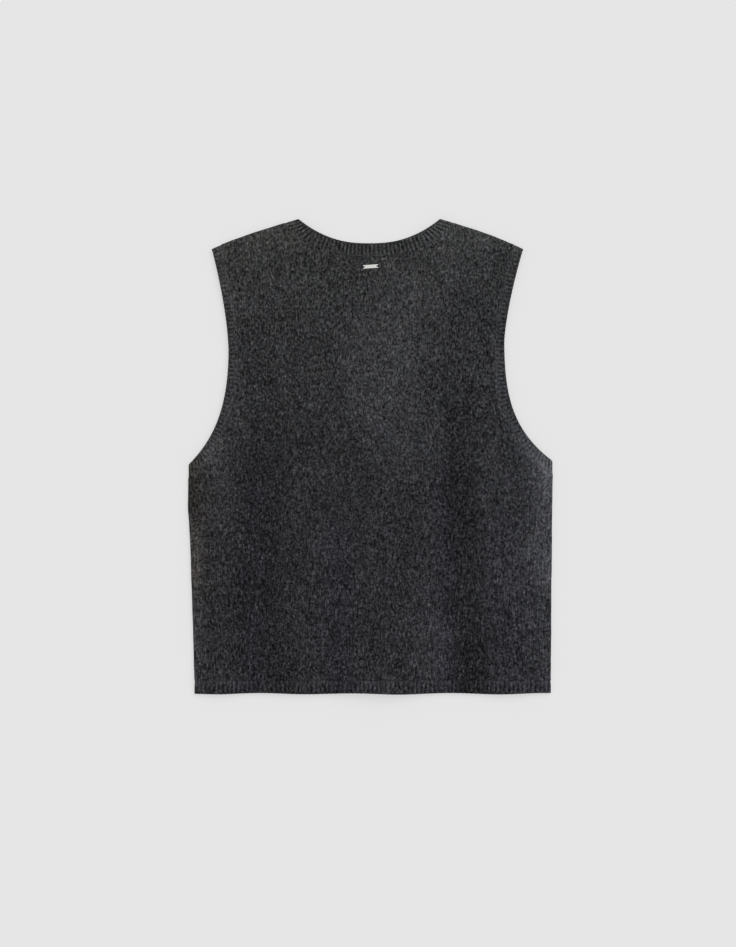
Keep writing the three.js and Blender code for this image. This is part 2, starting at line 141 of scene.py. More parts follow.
def hemAt(x):
    # the lowest line plus a cosine wave that only lifts it
    turn = 2 * np.pi * (x - lay["hemCrest"]) / lay["hemPeriod"]
    return hemY + lay["hemHeight"] * (1 + np.cos(turn))


def sideAt(side, y):
    # half the chest, drawn in to the hem's half width by a power of the way down
    down = np.clip((side["taperY"] - y) / (side["taperY"] - hemY), 0, None)
    return mix(garment["chest"] / 2, side["hem"], down ** side["taper"])


def shoulderAt(side, distance):
    # a straight drop with a cubic curve added towards the tip
    distance = np.asarray(distance, float)
    out = (distance - side["neck"]) / (side["tip"] - side["neck"])
    drop = (topY - side["tipY"]) * ((1 - side["bow"]) * out + side["bow"] * out**3)
    return np.stack([side["sign"] * distance, topY - drop], -1)


def shoulderWays(side, distance):
    # along the shoulder to the arm, and square to it out of the garment
    distance = np.asarray(distance, float)
    along = unit(shoulderAt(side, distance + 1) - shoulderAt(side, distance))
    return along, np.stack([-along[..., 1], along[..., 0]], -1) * side["sign"]


def shoulderInset(side, distance):
    return shoulderAt(side, distance) - shoulderWays(side, distance)[1] * foldOut


def armholeAt(side, y, scoop):
    # A power curve above the narrowest height, and a blend of a fourth power and a parabola below
    # it; scoop takes a parabola off the middle.
    tip = shoulderInset(side, side["tip"])
    above = y > side["narrowY"]
    end = np.where(above, tip[1], side["underarmY"] + garment["armholeLean"])
    q = np.clip((y - side["narrowY"]) / (end - side["narrowY"]), 0, 1)
    end = np.where(above, abs(tip[0]), garment["chest"] / 2 - foldOut)
    share = np.where(above, q ** side["rise"], mix(q**4, q**2, side["hollow"]))
    return mix(side["narrow"], end, share) - scoop * (1 - q * q)


def neckCorner(side):
    # where the neck's free edge starts to fold over the shoulder
    return shoulderInset(side, side["neck"] - garment["neckLean"])


def neckAt(x):
    # a flattened parabola: a power of the distance from the neck's middle
    start, end = neckCorner(leftSide), neckCorner(rightSide)
    q = np.abs((2 * x - start[0] - end[0]) / (end[0] - start[0]))
    rim = mix(start[1], end[1], (x - start[0]) / (end[0] - start[0]))
    return np.stack([x, mix(topY - garment["neckDepth"], rim, q ** garment["neckPower"])], -1)


def frontEdgeAt(side, y):
    # straight down from the break, and a power curve out to the shoulder above it
    neck = neckCorner(side)
    up = np.clip((y - garment["breakY"]) / (neck[1] - garment["breakY"]), 0, None)
    return mix(-side["sign"] * garment["neckBand"] / 2, neck[0], up ** garment["veePower"])


def buttonLift(x, y, flat, skirt):
    # a rounded plateau over each button, as wide as the band
    beside = np.clip(np.abs(x) - garment["neckBand"] / 2 - 1, 0, None)
    lifts = [fall(np.hypot(beside, y - by) - flat, skirt) for by in buttonYs]
    return (button["thick"] + button["clear"]) * np.max(lifts, axis=0)


def overlap(x, y, reach):
    beside, above = np.clip(np.abs(x) - lay["plateau"], 0, None), np.clip(y - lay["overlapTop"], 0, None)
    return fall(np.hypot(beside, above), reach)


def ridgeHeight(x, y):
    # bell-shaped ridges on slanting lines, faded in from their heads and out towards the sides
    edges = []
    for side in (leftSide, rightSide):
        high = armholeAt(side, np.clip(y, side["underarmY"], side["tipY"] - foldOut), 0)
        edges.append(np.where(y > side["underarmY"], high, sideAt(side, y)))
    edge = np.where(x < 0, edges[0], edges[1])
    total = 0
    for headX, headY, hemX, wide, high in lay["ridges"]:
        q = np.abs(x - mix(hemX, headX, (y - hemY) / (headY - hemY))) / wide
        total = total + high * np.clip(1 - q * q, 0, None) ** 2 * (1 - fall(headY - y, lay["ridgeStart"]))
    return (1 - fall(edge - np.abs(x) - foldOut, lay["ridgeClear"])) * total


def underFront(side, x, y):
    raised = layer * overlap(x, y, lay["rampFront"]) if side["name"] == "left" else 0
    return raised + buttonLift(x, y, *button["liftBand"])


def underBack(x, y):
    inside = np.minimum(x - frontEdgeAt(leftSide, y), frontEdgeAt(rightSide, y) - x)
    resting = fall(inside - lay["veeMargin"], lay["veeReach"])
    base = layer * (1 + overlap(x, y, lay["rampBack"])) + buttonLift(x, y, *button["liftBack"])
    return base * resting + ridgeHeight(x, y)


def gridFaces(index):
    # a quad between each four neighbours of a 2-D array of vertex numbers
    return np.stack([index[:-1, :-1], index[1:, :-1], index[1:, 1:], index[:-1, 1:]], -1).reshape(-1, 4)


def makeMesh(name, points, faces, **values):
    # welds points that coincide, drops the sides and faces that vanish, and turns the faces outwards.
    # values are numbers or vectors for each point, kept as attributes.
    keys = np.round(points * 2000).astype(np.int64)
    _, first, inverse = np.unique(keys, axis=0, return_index=True, return_inverse=True)
    faces = inverse.reshape(-1)[faces]
    points = points[first]
    a, b, c, d = (points[faces[:, k]] for k in range(4))
    volume = (a * (np.cross(b, c) + np.cross(c, d))).sum()
    if volume < 0:
        faces = faces[:, ::-1]
    keep = faces != np.roll(faces, -1, axis=1)
    sides = keep.sum(axis=1)
    faces, keep, sides = faces[sides > 2], keep[sides > 2], sides[sides > 2]
    mesh = bpy.data.meshes.new(name)
    mesh.vertices.add(len(points))
    mesh.vertices.foreach_set("co", (points * 0.001).astype(np.float32).ravel())
    mesh.loops.add(int(sides.sum()))
    mesh.loops.foreach_set("vertex_index", faces[keep].astype(np.int32))
    mesh.polygons.add(len(faces))
    mesh.polygons.foreach_set("loop_start", np.concatenate([[0], np.cumsum(sides)[:-1]]).astype(np.int32))
    mesh.polygons.foreach_set("use_smooth", np.ones(len(faces), bool))
    for key, value in values.items():
        plain = value.shape[1] == 1
        made = mesh.attributes.new(key, "FLOAT" if plain else "FLOAT_VECTOR", "POINT")
        made.data.foreach_set("value" if plain else "vector", value[first].astype(np.float32).ravel())
    mesh.update(calc_edges=True)
    mesh.validate()
    piece = bpy.data.objects.new(name, mesh)
    bpy.context.scene.collection.objects.link(piece)
    return piece


cuts = {}  # each cloth piece's flat size and area, in metres


def noteCut(name, middle, ring=False):
    # its longest row and longest column, and the area of half the cross products of the quads' diagonals
    if ring:
        middle = np.concatenate([middle, middle[:1]])
    across, along = (
        np.linalg.norm(np.diff(middle, axis=axis), axis=-1).sum(axis).max() * 0.001 for axis in (1, 0)
    )
    a, b = middle[1:, 1:] - middle[:-1, :-1], middle[1:, :-1] - middle[:-1, 1:]
    cuts[name] = (across, along), np.linalg.norm(np.cross(a, b), axis=-1).sum() / 2e6


def clothWall(name, middle, normal, outer, inner, values, ring=False, slits=()):
    # The cloth's two faces stand off its middle surface along the normals, by outer and by inner.
    # Each of the values is a pair, for the two faces. slits are (first row, last row, column) left open.
    rows, columns = middle.shape[:2]
    wide = lambda value: np.broadcast_to(value, (rows, columns))
    points = [middle + normal * wide(outer)[..., None], middle - normal * wide(inner)[..., None]]
    out = np.arange(rows * columns).reshape(rows, columns)
    if ring:
        out = np.vstack([out, out[:1]])
    into = out + rows * columns
    keep = np.ones((out.shape[0] - 1, columns - 1), bool)
    rims = [
        gridFaces(np.stack([out[:, -1], into[:, -1]], 1)),
        gridFaces(np.stack([into[:, 0], out[:, 0]], 1)),
    ]
    if not ring:
        rims += [gridFaces(np.stack([out[0], into[0]])), gridFaces(np.stack([into[-1], out[-1]]))]
    for start, end, column in slits:
        keep[start:end, column] = False
        span, pair = slice(start, end + 1), slice(column, column + 2)
        rims += [
            gridFaces(np.stack([out[span, column], into[span, column]], 1)),
            gridFaces(np.stack([into[span, column + 1], out[span, column + 1]], 1)),
            gridFaces(np.stack([into[start, pair], out[start, pair]])),
            gridFaces(np.stack([out[end, pair], into[end, pair]])),
        ]
    keep = keep.ravel()
    faces = np.concatenate([gridFaces(out)[keep], gridFaces(into)[keep][:, ::-1], *rims])
    values = {key: np.stack(pair).reshape(2 * rows * columns, -1) for key, pair in values.items()}
    return makeMesh(name, np.stack(points).reshape(-1, 3), faces, **values)


def strands(name, lines, radius, sides=3, **values):
    # Many threads in one mesh. lines holds each one's places, and radius how thick it is at each;
    # a section is a polygon square to the thread, and a radius of 0 closes an end in a point. The
    # values have a row for each thread.
    count, steps = lines.shape[:2]
    radius = np.broadcast_to(radius, (count, steps))
    along = unit(np.gradient(lines, axis=1))
    helper = np.where(np.abs(along[..., 2:]) > 0.8, [1.0, 0.0, 0.0], [0.0, 0.0, 1.0])
    across = unit(np.cross(along, helper))
    third = np.cross(along, across)
    turn = 2 * np.pi * np.arange(sides) / sides
    ring = across[..., None, :] * np.cos(turn)[:, None] + third[..., None, :] * np.sin(turn)[:, None]
    points = lines[..., None, :] + ring * radius[..., None, None]
    index = np.arange(count * steps * sides).reshape(count, steps, sides)
    index = np.concatenate([index, index[..., :1]], -1)
    faces = np.stack([index[:, :-1, :-1], index[:, :-1, 1:], index[:, 1:, 1:], index[:, 1:, :-1]], -1)
    values = {key: np.repeat(value, steps * sides, axis=0) for key, value in values.items()}
    return makeMesh(name, points.reshape(-1, 3), faces.reshape(-1, 4), **values)


# How light or dark the brushed wool lies: partly the nap's own tone, partly painted light on its soft
# rises and painted shade in its troughs. Also how its grey leans to violet or to brown. A stroke is
# head x, head y, foot x, foot y, reach, stops.
paintedLightAndNapTone = {
    "back": [
        (24, 205, 28, 20, 66, 0.44),
        (-128, -10, -134, -320, 46, -0.52),
        (103, 60, 114, -60, 36, -0.34),
        (108, -30, 120, -320, 36, -0.5),
        (218, 20, 220, -130, 50, 0.9),
        (218, -130, 219, -320, 44, 0.34),
        (-204, 20, -204, 0, 30, 0.36),
        (-214, -30, -214, -60, 22, -0.45),
        (-214, -100, -214, -150, 24, 0.3),
        (-214, -180, -214, -215, 20, 0.25),
        (128, -10, 128, -44, 28, 0.42),
        (76, 36, 76, 4, 24, 0.28),
        (-96, 262, -96, 240, 30, 0.25),
        (-5, 205, -5, 195, 26, -0.25),
        (196, 24, 202, -18, 24, 0.3),
        (158, 252, 158, 244, 20, -0.2),
        (-104, -266, -104, -300, 30, -0.25),
        (-86, -282, -20, -282, 24, -0.2),
        (182, -96, 182, -210, 22, 0.22),
        (206, -30, 208, -80, 24, 0.2),
        (200, -180, 200, -240, 24, 0.2),
        (77, -200, 77, -214, 24, 0.26),
        (56, -130, 56, -150, 22, 0.3),
        (-46, -108, -46, -118, 22, 0.3),
        (-66, -134, -66, -142, 24, -0.26),
        (-150, -158, -168, -188, 26, -0.26),
        (-188, -10, -190, -24, 24, 0.26),
        (96, 252, 97, 226, 26, 0.25),
        (-86, 204, -46, 200, 26, 0.24),
        (100, -64, 120, -92, 28, -0.2),
        (118, -212, 118, -250, 26, -0.18),
        (179, 36, 179, 20, 22, 0.28),
        (-222, -105, -222, -150, 32, 0.5),
        (-222, -190, -222, -240, 26, 0.26),
        (-170, 250, -105, 272, 40, 0.4),
        (-166, 200, -120, 205, 40, 0.26),
        (70, 285, 150, 262, 46, 0.62),
        (70, 225, 64, 170, 40, 0.2),
        (-40, -215, -34, -320, 26, -0.26),
        (74, -200, 68, -300, 26, 0.24),
        (150, 150, 120, 80, 34, -0.14),
        (-90, 120, -70, 20, 40, -0.1),
        (-20, -130, 0, -280, 60, -0.06),
        (-12, 190, -10, 60, 36, 0.17),
        (-118, 160, -120, 50, 34, -0.18),
        (150, 10, 158, -190, 40, 0.2),
        (206, 12, 206, -30, 36, 0.3),
        (-190, 12, -188, -66, 34, 0.38),
        (-214, -88, -212, -262, 24, 0.26),
        (34, -60, 48, -124, 40, -0.26),
        (120, -232, 120, -300, 28, -0.3),
        (-100, -224, -98, -262, 30, -0.22),
    ],
    "front": [
        (90, 160, 96, -40, 60, 0.3),
        (-88, 120, -96, -80, 60, 0.26),
        (140, -20, 146, -300, 40, -0.36),
        (-150, 10, -144, -300, 44, -0.36),
        (208, 20, 210, -160, 40, 0.4),
        (-206, -10, -208, -140, 36, 0.3),
        (130, 245, 90, 262, 40, 0.3),
        (-130, 245, -90, 262, 40, 0.3),
    ],
    "violet": [
        (-141, -40, -143, -300, 26, 0.11),
        (-40, -100, -36, -300, 30, 0.13),
        (90, -20, 90, -300, 22, 0.11),
        (160, -90, 166, -300, 34, 0.09),
    ],
    "brown": [
        # painted warm reflection down the left side
        (-222, 10, -222, -150, 40, 0.17),
        (-90, 290, -190, 255, 40, 0.02),
    ],
    "sides": 0.05,  # stops a unit of unevenness: painted light on the lumps' tops and painted shade in their hollows
    "high": 0.26,  # stops that the upper half is lighter by: painted light from above
}


def strokes(x, y, which):
    # soft lines between two points: each fades by a bell curve of the distance from it. The back's
    # and front's strokes are painted light and shade mixed with the nap's own tone, and the back adds
    # the upper half's painted light.
    total = paintedLightAndNapTone["high"] * (1 - fall(y + 10, 110.0)) if which == "back" else 0
    for headX, headY, footX, footY, reach, stops in paintedLightAndNapTone[which]:
        wayX, wayY = footX - headX, footY - headY
        q = np.clip(((x - headX) * wayX + (y - headY) * wayY) / (wayX**2 + wayY**2), 0, 1)
        away = np.hypot(x - headX - q * wayX, y - headY - q * wayY) / reach
        total = total + stops * np.clip(1 - away * away, 0, 1) ** 2
    return total


def greyAt(x, y):
    # red, green and blue as factors: neutral at the shoulders, bluer below by a power of the way down.
    # The first brown stroke, down the left side, is a painted warm reflection.
    violet, brown = strokes(x, y, "violet"), strokes(x, y, "brown")
    low = fall(y + 200, 300.0)
    high = np.clip((y + 20) / 290, 0, 1) ** 2.2
    blue = 0.13 * (1 - high) + 0.05 * low + 0.0001 * x + violet - 1.5 * brown
    red = 0.3 * violet + 0.6 * brown - 0.02 - 0.0001 * x + 0.02 * low
    return 2 ** np.stack([red, 0 * red, blue], -1)


def resampled(line, position):
    # each of the line's arrays at fractional row numbers
    rows = np.arange(len(next(iter(line.values()))))
    return {
        key: np.stack([np.interp(position, rows, column) for column in values.T], -1)
        for key, values in line.items()
    }


def bandLine(edge, width, ends, inward):
    # Beside each edge point, the band's seam at the band's width. It lies square to the edge, but
    # swings round at the two ends to the way and length that an end gives.
    run = np.concatenate([[0], np.cumsum(np.linalg.norm(np.diff(edge, axis=0), axis=1))])
    way = unit(np.gradient(edge, run, axis=0))
    square = np.stack([-way[:, 1], way[:, 0]], -1) * inward
    near = [fall(run, 30.0), fall(run[-1] - run, 30.0)]
    turned = square
    for end, q in zip(ends, near):
        turned = mix(turned, end[0], q[:, None]) if end else turned
    turned = unit(turned)
    reach = width / (turned * square).sum(-1)
    for end, q in zip(ends, near):
        reach = mix(reach, end[1], q) if end else reach
    seam = edge + turned * reach[:, None]
    return {"edge": edge, "seam": seam, "panel": seam + turned * garment["seam"]}


def armholeLine(side, scoop):
    tip = shoulderInset(side, side["tip"])
    share = np.linspace(0, 1, garment["linePoints"]["armhole"]) ** 1.5
    y = mix(side["underarmY"] + garment["armholeLean"], tip[1], share)
    edge = np.stack([side["sign"] * armholeAt(side, y, scoop), y], -1)
    along = shoulderWays(side, side["tip"])[0]
    ends = [(np.array([0, -1.0]), garment["armholeAtUnderarm"]), (-along, garment["armholeAtShoulder"])]
    return bandLine(edge, garment["armholeBand"], ends, side["sign"])


def neckLine():
    corners = [neckCorner(side)[0] for side in (leftSide, rightSide)]
    edge = neckAt(np.linspace(*corners, garment["linePoints"]["neck"]))
    ends = [
        (shoulderWays(side, side["neck"])[0], garment["neckAtShoulder"])
        for side in (leftSide, rightSide)
    ]
    return bandLine(edge, garment["neckBand"], ends, -1)


def frontLine(side):
    y = np.linspace(hemAt(0.0), neckCorner(side)[1], garment["linePoints"]["front"])
    edge = np.stack([frontEdgeAt(side, y), y], -1)
    ends = [None, (shoulderWays(side, side["neck"])[0], garment["neckAtShoulder"])]
    return bandLine(edge, garment["neckBand"], ends, -side["sign"])


def gapTo(places, seams):
    # how far each place is from the nearest point of the seams
    flat, line = places.reshape(-1, 2), np.concatenate(seams)
    nearest = np.full(len(flat), 1e9)
    for start in range(0, len(line), 40):
        away = np.linalg.norm(flat[:, None] - line[None, start : start + 40], axis=-1)
        nearest = np.minimum(nearest, away.min(1))
    return nearest.reshape(places.shape[:2])


# The knitted panels
knit = {
    "wall": 2.5,
    "lumps": [(34, 0.2), (13, 0.15), (6, 0.1)],  # size and height of the surface's unevenness
    "seamDip": 0.5,  # how far the surface sinks in the seam itself
    "seamRoll": 0.3,  # and how far it rises just beside the seam
    "curlSteps": 5,
}


def lumps(x, y, seed):
    return sum(h * lattice(x, y, size, seed + k) for k, (size, h) in enumerate(knit["lumps"]))


def curled(middle, normal, way, amount, up):
    # The border's places, carried round a quarter circle towards the other layer: at each turn they
    # stand out along way by the fold's radius times its sine, and sink by it less its cosine.
    steps = knit["curlSteps"]
    turn = amount[:, None] * np.radians(87) * np.arange(1, steps + 1) / steps
    out = way[:, None, :] * np.sin(turn)[..., None]
    lines = np.repeat(middle[:, None, :], steps, 1)
    lines[..., :2] += out * foldReach
    lines[..., 2] += up * foldRadius * (np.cos(turn) - 1)
    normals = np.concatenate([out, up * np.cos(turn)[..., None]], -1)
    normals[amount <= 0] = normal[amount <= 0][:, None, :]
    return lines, normals


def panelWall(name, grid, height, up, borders, seams, layerName, seed):
    # A panel from a grid of places. borders give, for some of its four borders, each place's way out
    # and how far it curls there, from 0 to 1, towards the side and shoulder seams.
    x, y = grid[..., 0], grid[..., 1]
    away = gapTo(grid, seams)
    uneven = lumps(x, y, seed)
    roll = knit["seamRoll"] * fall(np.abs(away - 1.8), 2.2) - knit["seamDip"] * fall(away, 1.2)
    offset = knit["wall"] / 2 + (uneven if up > 0 else 0.5 * uneven - 0.25) + roll
    # painted light and shade: the strokes, lighter on the lumps' tops and darker in their hollows, and 0.3
    # stops of painted highlight along the roll beside each seam
    tone = strokes(x, y, layerName) + paintedLightAndNapTone["sides"] * uneven + 0.3 * fall(np.abs(away - 1.5), 2.6)
    middle = np.concatenate([grid, (height(x, y) + half)[..., None]], -1)
    normal = np.zeros_like(middle)
    normal[..., 2] = up
    steps = knit["curlSteps"]
    pads = {"first": (steps, 0), "last": (0, steps)}
    for which, column in (("first", 0), ("last", -1)):
        if which not in borders:
            continue
        way, amount = borders[which]
        lines, normals = curled(middle[:, column], normal[:, column], way, amount, up)
        order = [lines[:, ::-1], middle] if column == 0 else [middle, lines]
        middle = np.concatenate(order, 1)
        order = [normals[:, ::-1], normal] if column == 0 else [normal, normals]
        normal = np.concatenate(order, 1)
        offset, tone = (np.pad(value, ((0, 0), pads[which]), "edge") for value in (offset, tone))
        way, amount = borders["top"]
        way, amount = (np.pad(way, (pads[which], (0, 0)), "edge"), np.pad(amount, pads[which], "edge"))
        borders["top"] = (way, amount)
    lines, normals = curled(middle[-1], normal[-1], *borders["top"], up)
    middle = np.concatenate([middle, lines.transpose(1, 0, 2)])
    normal = np.concatenate([normal, normals.transpose(1, 0, 2)])
    offset, tone = (np.pad(value, ((0, steps), (0, 0)), "edge") for value in (offset, tone))
    inner = np.full_like(offset, knit["wall"] / 2 - 0.05)
    grey = greyAt(middle[..., 0], middle[..., 1])
    values = {"tone": (tone, tone * 0), "grey": (grey, grey)}
    noteCut(name, middle)
    return clothWall(name, middle, normal, offset, inner, values)


def sideEdge(side, line):
    # The panel's outer edge: up the side, then up the armhole band's seam. The place where they meet
    # comes twice, so that the side's curl ends there.
    corner = line["panel"][0]
    rows = int((corner[1] - panelFoot) / garment["spacing"])
    y = np.linspace(panelFoot + garment["seam"], corner[1], rows)
    lower = np.stack([side["sign"] * (sideAt(side, y) - foldOut), y], -1)
    lower[-1] = corner
    top = line["panel"][-1, 1]
    heights = np.linspace(corner[1], top, int((top - corner[1]) / garment["spacing"]))
    position = np.interp(heights, line["panel"][:, 1], np.arange(len(line["panel"])))
    upper = resampled(line, position)["panel"]
    curl = np.concatenate([np.ones(len(lower)), np.zeros(len(upper))])
    way = np.tile([side["sign"], 0.0], (len(curl), 1))
    return np.concatenate([lower, upper]), way, curl


def evenRows(rows, edge, way, curl):
    # drops rows evenly from the armhole's part until the edge has this many
    split = int(curl.sum())
    upper = split + np.round(np.linspace(0, len(edge) - split - 1, rows - split)).astype(int)
    keep = np.concatenate([np.arange(split), upper])
    return edge[keep], way[keep], curl[keep]


def shoulderEdge(side, neckEnd, tipEnd, q):
    # the line that the shoulder starts to curl from, between the ends of the two bands
    shift = [side[end] - abs(shoulderInset(side, side[end])[0]) for end in ("neck", "tip")]
    distance = mix(abs(neckEnd[0]) + shift[0], abs(tipEnd[0]) + shift[1], q)
    places = shoulderInset(side, distance)
    places[q == 0], places[q == 1] = neckEnd, tipEnd
    return places, shoulderWays(side, distance)[1]


def makeBackPanel():
    lines = [armholeLine(side, 0) for side in (leftSide, rightSide)]
    edges = [sideEdge(side, line) for side, line in zip((leftSide, rightSide), lines)]
    rows = min(len(edge[0]) for edge in edges)
    left, right = (evenRows(rows, *edge) for edge in edges)
    neck = neckLine()
    across, beside = garment["columns"]["neck"], garment["columns"]["shoulder"]
    neckPlaces = neck["panel"][np.round(np.linspace(0, len(neck["panel"]) - 1, across)).astype(int)]
    q = np.linspace(0, 1, beside)
    leftTop, leftOut = shoulderEdge(leftSide, neckPlaces[0], left[0][-1], q)
    rightTop, rightOut = shoulderEdge(rightSide, neckPlaces[-1], right[0][-1], q)
    top = np.concatenate([leftTop[::-1], neckPlaces, rightTop])
    topOut = np.concatenate([leftOut[::-1], np.tile([0.0, 1.0], (across, 1)), rightOut])
    topCurl = np.concatenate([np.ones(beside), np.zeros(across), np.ones(beside)])
    shares = [(edge[:, 1] - panelFoot) / (edge[-1, 1] - panelFoot) for edge in (left[0], right[0])]
    up = mix(shares[0][:, None], shares[1][:, None], np.linspace(0, 1, len(top)))
    stretch = [edge[:, :1] / edge[-1, 0] for edge in (left[0], right[0])]
    x = top[:, 0] * np.where(top[:, 0] < 0, *stretch)
    grid = np.stack([x, mix(panelFoot + garment["seam"], top[:, 1], up)], -1)
    seams = [line["seam"][::3] for line in (*lines, neck)]
    borders = {"first": left[1:], "last": right[1:], "top": (topOut, topCurl)}
    return panelWall("backPanelKnit", grid, underBack, 1, borders, seams, "back", 3)


def makeFrontPanel(side):
    line, front = armholeLine(side, garment["frontScoop"]), frontLine(side)
    edge, way, curl = sideEdge(side, line)
    share = ((edge[:, 1] - panelFoot) / (edge[-1, 1] - panelFoot))[:, None]
    neckEnd = front["panel"][-1]
    heights = mix(panelFoot + garment["seam"], neckEnd[1], share[:, 0])
    position = np.interp(heights, front["panel"][:, 1], np.arange(len(front["panel"])))
    insideEdge = resampled(front, position)["panel"]
    q = np.linspace(0, 1, garment["columns"]["front"])
    top, out = shoulderEdge(side, neckEnd, edge[-1], q)
    grid = mix(insideEdge[:, None], edge[:, None], q[None, :, None])
    grid[..., 1] += (top[:, 1] - mix(top[0, 1], top[-1, 1], q)) * share**3
    seams = [line["seam"][::3], front["seam"][::2]]
    borders = {"last": (way, curl), "top": (out, np.ones(len(q)))}
    return panelWall(
        "frontPanel" + side["name"].title() + "Knit", grid, lambda x, y: underFront(side, x, y), -1,
        borders, seams, "front", 11 if side["sign"] < 0 else 17,
    )


backPanel = makeBackPanel()
frontPanels = [makeFrontPanel(side) for side in (leftSide, rightSide)]
print("panels:", [len(piece.data.polygons) for piece in (backPanel, *frontPanels)], "faces")

# The ribbed bands
rib = {
    "neckPitch": 4.85,  # one knit and one purl column
    "hemPitch": 5.3,
    "armholePitch": 5.0,
    "uneven": 0.3,  # share of a pitch that a rib may be out of its place
    "wall": 1.5,
    "height": 0.55,  # of a ridge over the wall, and as much below it in a valley
    "steps": 8,  # sections in one pitch
    "scallop": 0.1,
    "valley": -1.75,  # stops of painted shade in a valley; the ridge value below is painted light, added all over the band
    "ridge": 0.7,
    "edgeRowShade": -0.35,  # stops of painted shade, in the row beside the free edge
    "across": [0, 0.15, 0.5, 1.1, 2.0, 3.2, 5, 6.5, 8, 8, 9.5, 11.2, 13, 14.6, 15.5, 16],  # in sixteenths
}


def layered(line, height, up):
    # a band's line with the heights of its middle surface and its normals
    def lift(p):
        return np.concatenate([p, (height(p[:, 0], p[:, 1]) + half)[:, None]], -1)

    normal = np.tile([0.0, 0.0, up], (len(line["edge"]), 1))
    return {"edge": lift(line["edge"]), "seam": lift(line["seam"]), "normal": normal}


def foldOver(edge, seam, start, end, out, slide=(0, 0)):
    # The band carried round a half circle between the layers, between two angles. Its free edge
    # slides by the sine of the angle.
    turn = np.linspace(start, end, 14)[1:-1, None]
    ways = np.concatenate([out * np.sin(turn), np.cos(turn)], -1)
    shift = ways * [foldReach, foldReach, foldRadius] + [0, 0, foldOut]
    free = np.append(edge, 0) + shift + np.sin(turn) * np.append(slide, 0)
    return {"edge": free, "seam": np.append(seam, 0) + shift, "normal": ways}


def joined(*parts):
    return {key: np.concatenate([part[key] for part in parts]) for key in parts[0]}


def backwards(line):
    return {key: values[::-1] for key, values in line.items()}


def ribbedBand(name, line, pitch, strength, fade, ring=False, holes=()):
    # Sections an eighth of a rib apart by length along the band. A rib's ridge is one less twice the
    # cube of the sine of half its phase: wide on top, with a narrow valley. The other face has its
    # ridges where this one has valleys. The free edge rounds off by a quarter circle.
    centre = mix(line["edge"], line["seam"], 0.5)
    if ring:
        line = {key: np.concatenate([values, values[:1]]) for key, values in line.items()}
        centre = np.concatenate([centre, centre[:1]])
    run = np.concatenate([[0], np.cumsum(np.linalg.norm(np.diff(centre, axis=0), axis=1))])
    count = round(run[-1] / pitch) * rib["steps"]
    stations = np.linspace(0, run[-1], count + 1)[: count if ring else None]
    ends = fall(stations, 20.0) + fall(run[-1] - stations, 20.0)
    stations = stations + rib["uneven"] * pitch * (1 - ends) * lattice(stations, 0, 26.0, round(run[-1]))
    line = resampled(line, np.interp(stations, run, np.arange(len(run))))
    phase = 2 * np.pi * np.arange(len(stations))[:, None] / rib["steps"]
    across = np.array(rib["across"]) / 16
    share = np.repeat(across[None], len(stations), 0)
    slits = []
    middleColumn = rib["across"].index(8)
    opened = np.full(len(stations), 0.02)
    for place in holes:
        away = np.abs(mix(line["edge"], line["seam"], 0.5)[:, 1] - place[1])
        away = np.where(np.sign(line["edge"][:, 2] - place[2]) < 0, away, 1e9)
        rows = np.flatnonzero(away < button["holeLength"] / 2)
        q = away[rows] / (button["holeLength"] / 2)
        opened[rows] = np.maximum(button["holeWidth"] * np.sqrt(1 - q * q), 0.1)
        slits.append((rows[0], rows[-1], middleColumn))
    span = np.linalg.norm(line["seam"] - line["edge"], axis=1)[:, None]
    share[:, middleColumn] -= opened / 2 / span[:, 0]
    share[:, middleColumn + 1] += opened / 2 / span[:, 0]
    distance = share * span
    away = unit(line["edge"] - line["seam"])[:, None, :]
    middle = mix(line["edge"][:, None], line["seam"][:, None], share[..., None])
    middle = middle + away * (rib["scallop"] * np.cos(phase) * np.clip(1 - distance / 2, 0, 1))[..., None]
    normal = np.repeat(unit(line["normal"])[:, None], len(across), 1)
    rounded = np.sqrt(np.clip(1 - np.clip(1 - distance / 0.9, 0, 1) ** 2, 0, 1))
    flatter = 1 - 0.7 * fall(span - distance, fade)
    faces, tones, valleys = [], [], []
    for shift, shown in ((0, np.clip(normal[..., 2], 0, 1)), (np.pi, 0)):
        valley = np.abs(np.sin((phase + shift) / 2)) ** 3
        faces.append((rib["wall"] / 2 + rib["height"] * (1 - 2 * valley) * flatter) * rounded)
        vary = 1 + 0.6 * lattice(middle[..., 0], middle[..., 1], 6.0, 9)
        # painted shade in the valleys and painted light over the band, fading towards the free edge, with
        # painted shade in the row beside it; faces turned up also take the back's painted light and shade
        tone = rib["valley"] * valley * flatter * vary * strength + rib["ridge"]
        tone = tone * np.clip(distance / 1.5, 0.3, 1)
        tone = tone + rib["edgeRowShade"] * fall(np.abs(distance - 2.6), 1.3)
        tones.append(tone + strokes(middle[..., 0], middle[..., 1], "back") * shown)
        valleys.append(valley + 0 * distance)
    away = distance * 0.001
    grey = greyAt(middle[..., 0], middle[..., 1])
    values = {"tone": tones, "valley": valleys, "away": (away, away), "grey": (grey, grey)}
    noteCut(name, middle, ring)
    return clothWall(name, middle, normal, *faces, values, ring, slits)


def makeArmholeBand(side):
    back, front = armholeLine(side, 0), armholeLine(side, garment["frontScoop"])
    out = shoulderWays(side, side["tip"])[1]
    line = joined(
        layered(back, underBack, 1),
        foldOver(back["edge"][-1], back["seam"][-1], 0, np.pi, out),
        backwards(layered(front, lambda x, y: underFront(side, x, y), -1)),
        foldOver(back["edge"][0], back["seam"][0], np.pi, 0, np.array([side["sign"], 0.0]),
                 [0, -garment["armholeLean"]]),
    )
    name = "armholeBand" + side["name"].title() + "Rib"
    return ribbedBand(name, line, rib["armholePitch"], 0.55, 6.0, ring=True)


